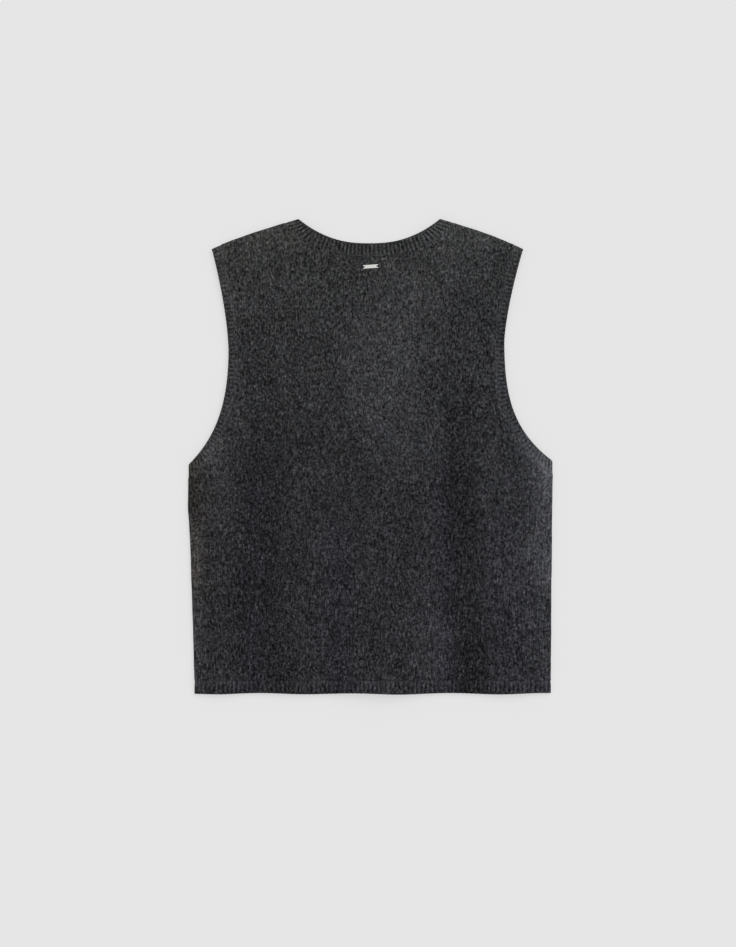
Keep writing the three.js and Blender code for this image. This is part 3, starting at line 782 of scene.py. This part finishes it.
def makeButtonBand():
    neck = neckLine()
    fronts = [
        layered(frontLine(side), lambda x, y, side=side: underFront(side, x, y), -1)
        for side in (leftSide, rightSide)
    ]
    ways = [shoulderWays(side, side["neck"]) for side in (leftSide, rightSide)]
    folds = [
        foldOver(neck["edge"][k], neck["seam"][k], *turns, out, along * garment["neckLean"])
        for k, turns, (along, out) in zip((0, -1), ((np.pi, 0), (0, np.pi)), ways)
    ]
    line = joined(fronts[0], folds[0], layered(neck, underBack, 1), folds[1], backwards(fronts[1]))
    holes = [(0, y, layer + button["thick"] + button["clear"] + half - 0.5) for y in buttonYs]
    return ribbedBand("buttonBandRib", line, rib["neckPitch"], 1, 3.5, holes=holes)


def makeHemRib(name, xs, height, up, curls):
    # the same rib, carried from side to side; its free edge is the hem
    foot = np.stack([xs, hemAt(xs)], -1)
    line = layered({"edge": foot, "seam": np.stack([xs, np.full_like(xs, panelFoot)], -1)}, height, up)
    for end, side in curls.items():
        turn = np.radians(87) * np.arange(1, 7)[:, None] / 6
        out = np.array([side["sign"], 0.0]) * np.sin(turn)
        shift = np.concatenate([out * foldReach, up * foldRadius * (np.cos(turn) - 1)], -1)
        extra = {key: line[key][end] + shift for key in ("edge", "seam")}
        extra["normal"] = np.concatenate([out, up * np.cos(turn)], -1)
        line = joined(backwards(extra), line) if end == 0 else joined(line, extra)
    return ribbedBand(name, line, rib["hemPitch"], 0.85, 9.0)


def hemEnd(side):
    return side["sign"] * (sideAt(side, hemY + 8) - foldOut)


bandSide = garment["neckBand"] / 2 + garment["seam"]
columns = garment["columns"]
armholeBands = [makeArmholeBand(side) for side in (leftSide, rightSide)]
buttonBand = makeButtonBand()
hemRibs = [
    makeHemRib("backHemRib", np.linspace(hemEnd(leftSide), hemEnd(rightSide), columns["backHem"]),
               underBack, 1, {0: leftSide, -1: rightSide}),
    makeHemRib("frontHemRibLeft", np.linspace(hemEnd(leftSide), -bandSide, columns["frontHem"]),
               lambda x, y: underFront(leftSide, x, y), -1, {0: leftSide}),
    makeHemRib("frontHemRibRight", np.linspace(bandSide, hemEnd(rightSide), columns["frontHem"]),
               lambda x, y: underFront(rightSide, x, y), -1, {-1: rightSide}),
]
print("bands:", [len(piece.data.polygons) for piece in (*armholeBands, buttonBand, *hemRibs)], "faces")

# The nap: short fibres that stand a little off the brushed face
nap = {
    "back": 30000,
    "front": 12600,  # each
    "clump": 3,
    "length": (4.0, 8.0, 14.0),  # shortest, longest at the shoulders, longest at the hem
    "radius": (0.05, 0.1),
    "lift": (0.15, 0.6),
    "spread": (36, 18),  # degrees off upright, at the shoulders and at the hem
    "tone": (0.1, 0.55),  # mean and spread, in stops
    "field": (216, 284),  # half the width and length that the fibres are drawn from
    "neckSpan": (-84, 82),  # where the top is the neckline, not a shoulder
}


def insideBack(x, y, inset):
    side = lambda s: np.where(
        y > s["underarmY"] - inset, armholeAt(s, np.clip(y + inset, None, 240), 0), sideAt(s, y)
    )
    edge = np.where(x < 0, side(leftSide), side(rightSide)) - inset
    neck = neckAt(np.clip(x, *nap["neckSpan"]))[:, 1]
    drop = np.where(x < 0, shoulderAt(leftSide, -x)[:, 1], shoulderAt(rightSide, x)[:, 1])
    top = np.where((x > nap["neckSpan"][0]) & (x < nap["neckSpan"][1]), neck, drop)
    return (np.abs(x) < edge) & (y < top - inset) & (y > hemAt(x) + inset)


def insideFront(side, x, y, inset):
    top = shoulderAt(side, np.abs(x))[:, 1]
    armhole = armholeAt(side, np.clip(y + inset, None, 240), garment["frontScoop"])
    edge = np.where(y > side["underarmY"] - inset, armhole, sideAt(side, y))
    within = side["sign"] * (x - frontEdgeAt(side, y)) > inset + garment["neckBand"]
    return within & (np.abs(x) < edge - inset) & (y < top - inset) & (y > panelFoot)


def makeNap(name, count, inside, surface, up, seed):
    # Each fibre is a bent spindle: a point, one three-sided section in the middle, a point. Clumps
    # share a place and a direction. surface gives the height that the fibre lies on.
    draw = np.random.default_rng(seed)
    x, y = (draw.uniform(-reach, reach, count * 3) for reach in nap["field"])
    kept = np.flatnonzero(inside(x, y))[: count // nap["clump"]]
    pick = np.repeat(kept, nap["clump"])
    total = len(pick)
    high = np.clip((y[pick] + 120) / 300, 0, 1)
    upright = mix(nap["spread"][1], nap["spread"][0], high)
    heading = np.repeat(draw.normal(0, 1, len(kept)), nap["clump"]) * upright + draw.normal(0, 9, total)
    heading = np.radians(heading)
    way = np.stack([np.sin(heading), np.cos(heading)], -1)
    centre = np.stack([x[pick], y[pick]], -1) + draw.normal(0, 0.7, (total, 2))
    shortest, longestHigh, longestLow = nap["length"]
    longest = mix(longestLow, longestHigh, high)
    reach = mix(shortest, longest, draw.uniform(0, 1, total) ** 1.5)[:, None] / 2
    bend = np.stack([way[:, 1], -way[:, 0]], -1) * draw.normal(0, 0.12, (total, 1)) * reach
    places = np.stack([centre - way * reach, centre + bend, centre + way * reach], 1)
    z = surface(places[..., 0], places[..., 1])
    lift = draw.uniform(*nap["lift"], total)
    z = z + up * np.stack([0 * lift - 0.1, lift, 0 * lift - 0.1], -1)
    radius = draw.uniform(*nap["radius"], total)[:, None] * [0, 1, 0]
    # each fibre takes the painted light and shade of the strokes under it, and a random tone of its own
    tone = strokes(x[pick], y[pick], "back" if up > 0 else "front") + draw.normal(*nap["tone"], total)
    grey = greyAt(x[pick], y[pick])
    fits = inside(*places[:, 0].T) & inside(*places[:, 2].T)
    lines = np.concatenate([places, np.maximum(z, 0.06)[..., None]], -1)
    return strands(name, lines[fits], radius[fits], tone=tone[fits, None], grey=grey[fits])


napPieces = [
    makeNap(
        "backNap", nap["back"], lambda x, y: insideBack(x, y, 10.0),
        lambda x, y: underBack(x, y) + half + knit["wall"] / 2 + lumps(x, y, 3), 1, 5,
    ),
    *[
        makeNap(
            "frontNap" + side["name"].title(), nap["front"],
            lambda x, y, side=side: insideFront(side, x, y, 3.0),
            lambda x, y, side=side: underFront(side, x, y) + 0.25, -1, 6 + k,
        )
        for k, side in enumerate((leftSide, rightSide))
    ],
]
print("nap:", [len(piece.data.polygons) for piece in napPieces], "faces")

# The buttons, their threads and the buttonholes' stitching
trim = {
    "holes": 4, "holeRadius": 0.85, "holeReach": 1.75,
    "drill": (-1.01, -1, 4, 4.01),  # heights of the drill's point, shoulders and end
    "thread": 0.27, "stitches": 34, "stitchLength": 2.2,
}


def lathe(name, profile, turns=56):
    # a profile of radius and height carried round the z axis; where the radius is 0 it closes
    turn = np.linspace(0, 2 * np.pi, turns + 1)[:-1]
    radius, z = np.array(profile, float).T
    points = np.stack([np.outer(radius, np.cos(turn)), np.outer(radius, np.sin(turn)),
                       np.repeat(z[:, None], turns, 1)], -1)
    index = np.arange(len(profile) * turns).reshape(len(profile), turns)
    return makeMesh(name, points.reshape(-1, 3), gridFaces(np.hstack([index, index[:, :1]])))


def makeButtons():
    # The rim and the dish are one lathed profile, and four round holes are cut through it.
    r, t = button["radius"], button["thick"]
    turn = np.linspace(0, np.pi / 2, 6)
    faceRim = [(r - 0.55 + 0.55 * np.sin(a), 0.55 - 0.55 * np.cos(a)) for a in turn]
    backRim = [(r - 0.8 + 0.8 * np.cos(a), t - 0.8 + 0.8 * np.sin(a)) for a in turn]
    dish = [(0, 0.62), (2.4, 0.6), (3.4, 0.5), (r - 1.5, 0.2), (r - 0.9, 0.03)]
    blank = lathe("buttonBlank", dish + faceRim + backRim + [(2.5, t), (0, t)])
    depths = np.outer(trim["drill"], [0, 0, 1])
    drills = strands(
        "buttonDrills", np.stack([np.append([x, y], 0) + depths for x, y in holePlaces()]),
        trim["holeRadius"] * np.array([0, 1, 1, 0]), 16,
    )
    cut = blank.modifiers.new("holes", "BOOLEAN")
    cut.operation, cut.solver, cut.object = "DIFFERENCE", "EXACT", drills
    shape = bpy.data.meshes.new_from_object(blank.evaluated_get(bpy.context.evaluated_depsgraph_get()))
    shape.set_sharp_from_angle(angle=np.radians(38))
    made = []
    for k in range(button["count"]):
        low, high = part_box(f"button_{k + 1}")
        mesh = shape.copy()
        mesh.transform(Matrix.Translation(((low.x + high.x) / 2, (low.y + high.y) / 2, low.z)))
        piece = bpy.data.objects.new(f"fourHoleButton{k + 1}", mesh)
        bpy.context.scene.collection.objects.link(piece)
        made.append(piece)
    for spare in (blank, drills):
        bpy.data.objects.remove(spare)
    return made


def holePlaces():
    turn = np.pi / 4 + np.pi / 2 * np.arange(trim["holes"])
    return trim["holeReach"] * np.stack([np.cos(turn), np.sin(turn)], -1)


def makeSewing(k):
    # Two bars of three threads over the button's face, and the wound shank behind it.
    low, high = (np.array(corner) * 1000 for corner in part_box(f"button_{k + 1}"))
    centre = (low + high) / 2
    centre[2] = low[2]
    along = np.linspace(0, 1, 11)
    holes = holePlaces()
    lines = []
    for start, end in ((holes[0], holes[1]), (holes[3], holes[2])):
        side = np.array([0.0, trim["thread"] * 0.9])
        for shift in (-1, 0, 1):
            spread = side * shift * np.sin(np.pi * along)[:, None]
            xy = mix(start, end, along[:, None]) * [1.05, 1] + spread
            z = 1.5 - 1.15 * np.sin(np.pi * along) ** 0.35 + 0.04 * abs(shift)
            lines.append(np.concatenate([xy, z[:, None]], -1) + centre)
    ends = np.where((along == 0) | (along == 1), 0, 1)
    bars = strands(f"buttonThread{k + 1}", np.array(lines), 0.75 * trim["thread"] * ends, 7)
    low, high = (np.array(corner) * 1000 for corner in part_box(f"button_shank_{k + 1}"))
    rise = np.linspace(low[2] - 0.4, high[2] + 0.5, 40)
    wound = 0.62 + 0.09 * np.abs(np.sin(np.pi * (rise - low[2]) / 0.42))
    wound[[0, -1]] = 0
    line = np.stack([rise * 0 + centre[0], rise * 0 + centre[1], rise], -1)
    shank = strands(f"buttonShankWound{k + 1}", line[None], wound, 12)
    return bars, shank


def makeButtonhole(k):
    # stitches square to the slit's edge, all round it
    turn = 2 * np.pi * (np.arange(trim["stitches"]) + 0.5) / trim["stitches"]
    reach = np.array([button["holeWidth"] / 2 - 0.15, button["holeLength"] / 2 - 0.1])
    start = np.stack([np.sin(turn), np.cos(turn)], -1) * reach + [0, buttonYs[k]]
    way = unit(np.stack([np.sin(turn) / reach[0], np.cos(turn) / reach[1]], -1))
    along = np.array([0, 0.12, 0.5, 0.88, 1])
    xy = start[:, None] + way[:, None] * (along * trim["stitchLength"])[:, None]
    z = button["thick"] + button["clear"] + 0.1 - 0.3 * np.sin(np.pi * along) + 0 * xy[..., 0]
    lines = np.concatenate([xy, z[..., None]], -1)
    return strands(f"buttonholeStitch{k + 1}", lines, trim["thread"] * np.array([0, 0.8, 1, 0.8, 0]), 6)


buttonPieces = makeButtons()
sewing = [makeSewing(k) for k in range(button["count"])]
buttonholes = [makeButtonhole(k) for k in range(button["count"])]
print("buttons:", len(buttonPieces[0].data.polygons), "faces each")

# The small metal plate below the neckband
plate = {"length": 18.8, "height": 4.2, "notch": 1.9, "thick": 0.7, "tilt": 4.2}


def makePlate():
    # A flat grid whose ends are drawn in by the notch's depth at the middle of the height. The
    # corners between face and side are bevelled.
    low, high = (np.array(corner) * 1000 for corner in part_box("back_plate"))
    u, v = np.meshgrid(np.linspace(-1, 1, 25), np.linspace(-1, 1, 9), indexing="ij")
    x = u * (plate["length"] / 2 - plate["notch"] * (1 - np.abs(v)) * u**6)
    y = v * plate["height"] / 2
    turn = np.radians(plate["tilt"])
    middle = np.stack([x * np.cos(turn) - y * np.sin(turn), x * np.sin(turn) + y * np.cos(turn), 0 * x], -1)
    middle = middle + [*(low + high)[:2] / 2, (low + high)[2] / 2]
    up = np.broadcast_to([0.0, 0.0, 1.0], middle.shape)
    metal = clothWall("neckPlate", middle, up, plate["thick"] / 2, plate["thick"] / 2, {})
    bevel = metal.modifiers.new("edge", "BEVEL")
    bevel.width, bevel.segments, bevel.harden_normals = 0.00016, 2, True
    bevel.limit_method, bevel.angle_limit = "ANGLE", np.radians(50)
    along = np.linspace(0, 1, 9)
    lines = []
    for way in (-1, 1):
        for shift in (-0.5, 0.0, 0.5):
            px = way * (plate["length"] / 2 - plate["notch"] - 0.7 + along * 3.4)
            py = shift * (1.2 - 0.5 * along)
            pz = 0.75 * np.sin(np.pi * along) ** 0.6 - 0.35 - 0.5 * along
            lines.append(np.stack([
                px * np.cos(turn) - py * np.sin(turn), px * np.sin(turn) + py * np.cos(turn), pz], -1))
    lines = np.array(lines) + [*(low + high)[:2] / 2, high[2]]
    ends = np.where((along == 0) | (along == 1), 0, 1)
    return metal, strands("plateThreads", lines, 0.24 * ends, 6)


neckPlate, plateThreads = makePlate()


class Wire:
    # one output socket; sums, products and powers of wires add Math nodes
    def __init__(self, finish, socket):
        self.finish, self.socket = finish, socket

    def math(self, operation, a, b):
        return self.finish.node("ShaderNodeMath", {"operation": operation}, [a, b])

    def __add__(self, other):
        return self.math("ADD", self, other)

    def __sub__(self, other):
        return self.math("SUBTRACT", self, other)

    def __rsub__(self, other):
        return self.math("SUBTRACT", other, self)

    def __mul__(self, other):
        return self.math("MULTIPLY", self, other)

    def __truediv__(self, other):
        return self.math("DIVIDE", self, other)

    def __pow__(self, other):
        return self.math("POWER", self, other)

    def __rpow__(self, other):
        return self.math("POWER", other, self)

    def __abs__(self):
        return self.finish.node("ShaderNodeMath", {"operation": "ABSOLUTE"}, [self])

    __radd__ = __add__
    __rmul__ = __mul__


class Finish:
    # a material, and the nodes that are added to it
    def __init__(self, name):
        self.material = bpy.data.materials.new(name)
        self.material.use_nodes = True
        self.tree = self.material.node_tree
        self.shader = self.tree.nodes["Principled BSDF"]

    def node(self, kind, settings=None, inputs=None, output=0):
        made = self.tree.nodes.new(kind)
        for key, value in (settings or {}).items():
            setattr(made, key, value)
        for key, value in enumerate(inputs) if isinstance(inputs, list) else (inputs or {}).items():
            if isinstance(value, Wire):
                self.tree.links.new(value.socket, made.inputs[key])
            elif value is not None:
                made.inputs[key].default_value = value
        return Wire(self, made.outputs[output])

    def shade(self, **inputs):
        for key, value in inputs.items():
            socket = self.shader.inputs[key.replace("_", " ")]
            if isinstance(value, Wire):
                self.tree.links.new(value.socket, socket)
            else:
                socket.default_value = value
        return self.material

    def here(self):
        return self.node("ShaderNodeTexCoord", output="Object")

    def own(self, name, output="Fac"):
        return self.node("ShaderNodeAttribute", {"attribute_name": name}, output=output)

    def stretched(self, vector, x, y, z, turn=0.0):
        inputs = {"Vector": vector, "Rotation": (0, 0, turn), "Scale": (1 / x, 1 / y, 1 / z)}
        return self.node("ShaderNodeMapping", inputs=inputs)

    def noise(self, vector, detail=2.0, roughness=0.5, output=0):
        inputs = {"Vector": vector, "Scale": 1.0, "Detail": detail, "Roughness": roughness}
        return self.node("ShaderNodeTexNoise", inputs=inputs, output=output)

    def vectors(self, operation, *inputs):
        return self.node("ShaderNodeVectorMath", {"operation": operation}, list(inputs))

    def scaled(self, colour, factor):
        return self.node("ShaderNodeVectorMath", {"operation": "SCALE"}, {0: colour, "Scale": factor})

    def blend(self, factor, a, b):
        return self.node("ShaderNodeMix", {"data_type": "RGBA"}, {0: factor, 6: a, 7: b}, 2)

    def span(self, value, low, high, start=0.0, end=1.0):
        inputs = {"Value": value, "From Min": low, "From Max": high, "To Min": start, "To Max": end}
        return self.node("ShaderNodeMapRange", inputs=inputs)


wool = {
    "albedo": 0.0233,
    "grain": 2.7, "streak": 2.0, "hair": 0.25, "pit": 0.36, "darkest": 0.12,  # shares of the lightness
    "patch": 1.6,  # stops
    "tint": (0.16, 0.06, 0.22),
    "stitch": 0.12, "ribGrain": 0.8,
    "sheen": 0.05,
}


def woolFinish(name, ribbed):
    # Lightness, as the eye judges it, is 1 or what the tone's stops make of it, with the fibres added:
    # fine grain, upright streaks that grow longer towards the hem, pale hairs and dark pits. Its
    # power 2.2 scales the albedo.
    finish = Finish(name)
    here = finish.here()
    sway = finish.noise(finish.stretched(here, 0.007, 0.009, 0.007), 1.0, output="Color")
    bent = finish.vectors("MULTIPLY_ADD", sway, (0.0024, 0.0016, 0.0008), here)
    grain = finish.noise(finish.stretched(bent, 0.0027, 0.0032, 0.0027), 2.0, 0.6)
    short = finish.noise(finish.stretched(bent, 0.0014, 0.0056, 0.0014), 1.5, 0.6)
    long = finish.noise(finish.stretched(bent, 0.0012, 0.009, 0.0013), 1.5, 0.6)
    low = finish.span(finish.node("ShaderNodeSeparateXYZ", inputs=[here], output="Y"), 0.08, -0.12)
    streak = short if ribbed else short + (long - short) * low
    hair = abs(finish.noise(finish.stretched(bent, 0.0052, 0.0085, 0.0052, 0.3), 2.0, 0.6) - 0.5)
    pit = finish.noise(finish.stretched(bent, 0.0031, 0.0036, 0.0031, 0.9), 1.0, 0.5)
    light = (grain - 0.5) * wool["grain"] + (streak - 0.5) * wool["streak"]
    light = light + finish.span(hair, 0.0, 0.03, wool["hair"], 0.0)
    light = light - finish.span(pit, 0.58, 0.72, 0.0, wool["pit"])
    if ribbed:
        rows = finish.own("away") * (2 * np.pi / 0.0021) + finish.own("valley") * 2.6
        rows = finish.node("ShaderNodeMath", {"operation": "SINE"}, [rows])
        light = light * wool["ribGrain"] + rows * wool["stitch"] * (1 - finish.own("valley"))
    relief = finish.node("ShaderNodeBump", inputs={"Strength": 0.6, "Distance": 0.0005, "Height": light})
    patch = finish.noise(finish.stretched(here, 0.025, 0.04, 0.025), 3.5, 0.72)
    # the tone attribute brings in painted light and shade: the strokes, the lumps, the seams' rolls and the
    # ribs' valleys, ridges and edge row
    light = light + 2 ** ((patch - 0.5) * (wool["patch"] / 2.2) + finish.own("tone") / 2.2)
    light = finish.node("ShaderNodeMath", {"operation": "MAXIMUM"}, [light, wool["darkest"]])
    drift = finish.noise(finish.stretched(here, 0.012, 0.012, 0.012), 2.0, output="Color")
    level = tuple(1 - k / 2 for k in wool["tint"])
    tint = finish.vectors("MULTIPLY_ADD", drift, wool["tint"], level)
    tint = finish.vectors("MULTIPLY", tint, finish.own("grey", "Vector"))
    return finish.shade(
        Base_Color=finish.scaled(tint, light**2.2 * wool["albedo"]), Roughness=0.95, Normal=relief,
        Sheen_Weight=wool["sheen"], Sheen_Roughness=0.55, Specular_IOR_Level=0.08,
    )


def napFinish():
    finish = Finish("woolFibre")
    # the tone attribute holds the strokes' painted light and shade and the fibre's own random tone
    colour = finish.scaled(finish.own("grey", "Vector"), 2 ** finish.own("tone") * wool["albedo"] * 1.3)
    return finish.shade(Base_Color=colour, Roughness=0.8, Specular_IOR_Level=0.15)


def buttonFinish():
    # dark horn: long swirls between near-black and brown-grey
    finish = Finish("darkHorn")
    here = finish.here()
    sway = finish.noise(finish.stretched(here, 0.006, 0.006, 0.006), 2.0, output="Color")
    drawn = finish.stretched(here, 0.0022, 0.006, 0.004)
    bent = finish.vectors("MULTIPLY_ADD", sway, (2.5, 2.5, 2.5), drawn)
    swirl = finish.noise(bent, 3.0)
    colour = finish.blend(finish.span(swirl, 0.42, 0.66), (0.012, 0.011, 0.011, 1), (0.05, 0.042, 0.036, 1))
    scuff = finish.noise(finish.stretched(here, 0.0006, 0.0018, 0.0006), 3.0)
    relief = finish.node("ShaderNodeBump", inputs={"Strength": 0.15, "Distance": 0.00005, "Height": scuff})
    return finish.shade(
        Base_Color=colour, Roughness=finish.span(scuff, 0.3, 0.7, 0.22, 0.4), Normal=relief,
        Specular_IOR_Level=0.5,
    )


def threadFinish():
    finish = Finish("charcoalThread")
    ply = finish.noise(finish.stretched(finish.here(), 0.0004, 0.0008, 0.0004, 0.6), 2.0)
    colour = finish.blend(ply, (0.006, 0.006, 0.007, 1), (0.035, 0.035, 0.037, 1))
    relief = finish.node("ShaderNodeBump", inputs={"Strength": 0.5, "Distance": 0.0001, "Height": ply})
    return finish.shade(Base_Color=colour, Roughness=0.75, Normal=relief, Specular_IOR_Level=0.25)


def plateFinish():
    # brushed along its length: very long thin streaks in tone, gloss and relief
    finish = Finish("brushedNickel")
    along = finish.stretched(finish.here(), 0.009, 0.00012, 0.004, np.radians(-4))
    streaks = finish.noise(along, 3.0, 0.65)
    colour = finish.blend(streaks, (0.6, 0.585, 0.56, 1), (0.86, 0.845, 0.82, 1))
    relief = finish.node("ShaderNodeBump", inputs={"Strength": 0.25, "Distance": 0.00003, "Height": streaks})
    gloss = finish.span(streaks, 0.3, 0.7, 0.28, 0.42)
    return finish.shade(Base_Color=colour, Metallic=1.0, Roughness=gloss, Normal=relief)


bodyWool, ribWool = woolFinish("brushedCharcoalWool", False), woolFinish("ribbedCharcoalWool", True)
fibre, horn, thread, nickel = napFinish(), buttonFinish(), threadFinish(), plateFinish()


def dress(piece, material, slot, *nodes):
    piece.data.materials.clear()
    piece.data.materials.append(material)
    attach(piece, "root")
    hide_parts(*nodes)


dress(backPanel, bodyWool, "wool_body", "back_panel")
dress(frontPanels[0], bodyWool, "wool_body", "front_panel_left")
dress(frontPanels[1], bodyWool, "wool_body", "front_panel_right")
dress(armholeBands[0], ribWool, "wool_rib", "armhole_band_left")
dress(armholeBands[1], ribWool, "wool_rib", "armhole_band_right")
dress(buttonBand, ribWool, "wool_rib", "button_band")
for piece, node in zip(hemRibs, ("back_hem_rib", "front_hem_rib_left", "front_hem_rib_right")):
    dress(piece, ribWool, "wool_rib", node)
for piece in napPieces:
    dress(piece, fibre, "wool_body")
for k in range(button["count"]):
    dress(buttonPieces[k], horn, "button", f"button_{k + 1}")
    dress(sewing[k][0], thread, "thread")
    dress(sewing[k][1], thread, "thread", f"button_shank_{k + 1}")
    dress(buttonholes[k], thread, "thread")
dress(neckPlate, nickel, "plate", "back_plate")
dress(plateThreads, thread, "thread")

# The cloth, as it was cut, and what each piece lies on
table = ["floor"]
fronts = [piece.name for piece in frontPanels]
lies = [
    (frontPanels[1], table, [napPieces[2], hemRibs[2]]),
    (frontPanels[0], [*table, fronts[1]], [napPieces[1], hemRibs[1]]),
    (backPanel, fronts, [napPieces[0], hemRibs[0], neckPlate, plateThreads]),
    (armholeBands[0], table, []),
    (armholeBands[1], table, []),
    (buttonBand, [*table, *fronts], [*buttonPieces, *buttonholes]),
    (hemRibs[0], [hemRibs[1].name, hemRibs[2].name], []),
    (hemRibs[1], table, []),
    (hemRibs[2], table, []),
]
for piece, under, on in lies:
    flat, area = cuts[piece.name]
print("cut, in millimetres and square centimetres:")
for name, (flat, area) in cuts.items():
    print(" ", name, [round(size * 1000) for size in flat], round(area * 1e4))

# The floor, the light and the camera
studio = {
    "sky": 0.72, "key": 1.15, "keyAngle": 40.0, "keyTurn": (-0.5, 0.5, 0.0),
    "floor": 0.25, "floorGlow": 0.54,
}
floorMesh = bpy.data.meshes.new("floor")
floorMesh.from_pydata([(-6, -6, 0), (6, -6, 0), (6, 6, 0), (-6, 6, 0)], [], [(0, 1, 2, 3)])
floorMesh.transform(Matrix.Translation((0, 0, -0.0002)))
floor = bpy.data.objects.new("floor", floorMesh)
bpy.context.scene.collection.objects.link(floor)
paper = Finish("paleTable")
floor.data.materials.append(paper.shade(
    Base_Color=(studio["floor"],) * 3 + (1,), Roughness=0.95, Specular_IOR_Level=0.0,
    Emission_Color=(1, 1, 1, 1), Emission_Strength=studio["floorGlow"],
))

world = bpy.data.worlds.new("studio")
world.use_nodes = True
world.node_tree.nodes["Background"].inputs["Color"].default_value = (1, 1, 1, 1)
world.node_tree.nodes["Background"].inputs["Strength"].default_value = studio["sky"]
bpy.context.scene.world = world
keyLight = bpy.data.lights.new("key", "SUN")
keyLight.energy = studio["key"]
keyLight.angle = np.radians(studio["keyAngle"])
key = bpy.data.objects.new("key", keyLight)
key.rotation_euler = studio["keyTurn"]
bpy.context.scene.collection.objects.link(key)
bpy.context.scene.view_settings.view_transform = "Standard"

cameraData = bpy.data.cameras.new("camera")
cameraData.lens = 100
cameraData.sensor_width = 36
cameraData.clip_end = 20
camera = bpy.data.objects.new("camera", cameraData)
camera.location = (-0.0031, -0.0203, 3.162)  # straight above
bpy.context.scene.collection.objects.link(camera)
bpy.context.scene.camera = camera
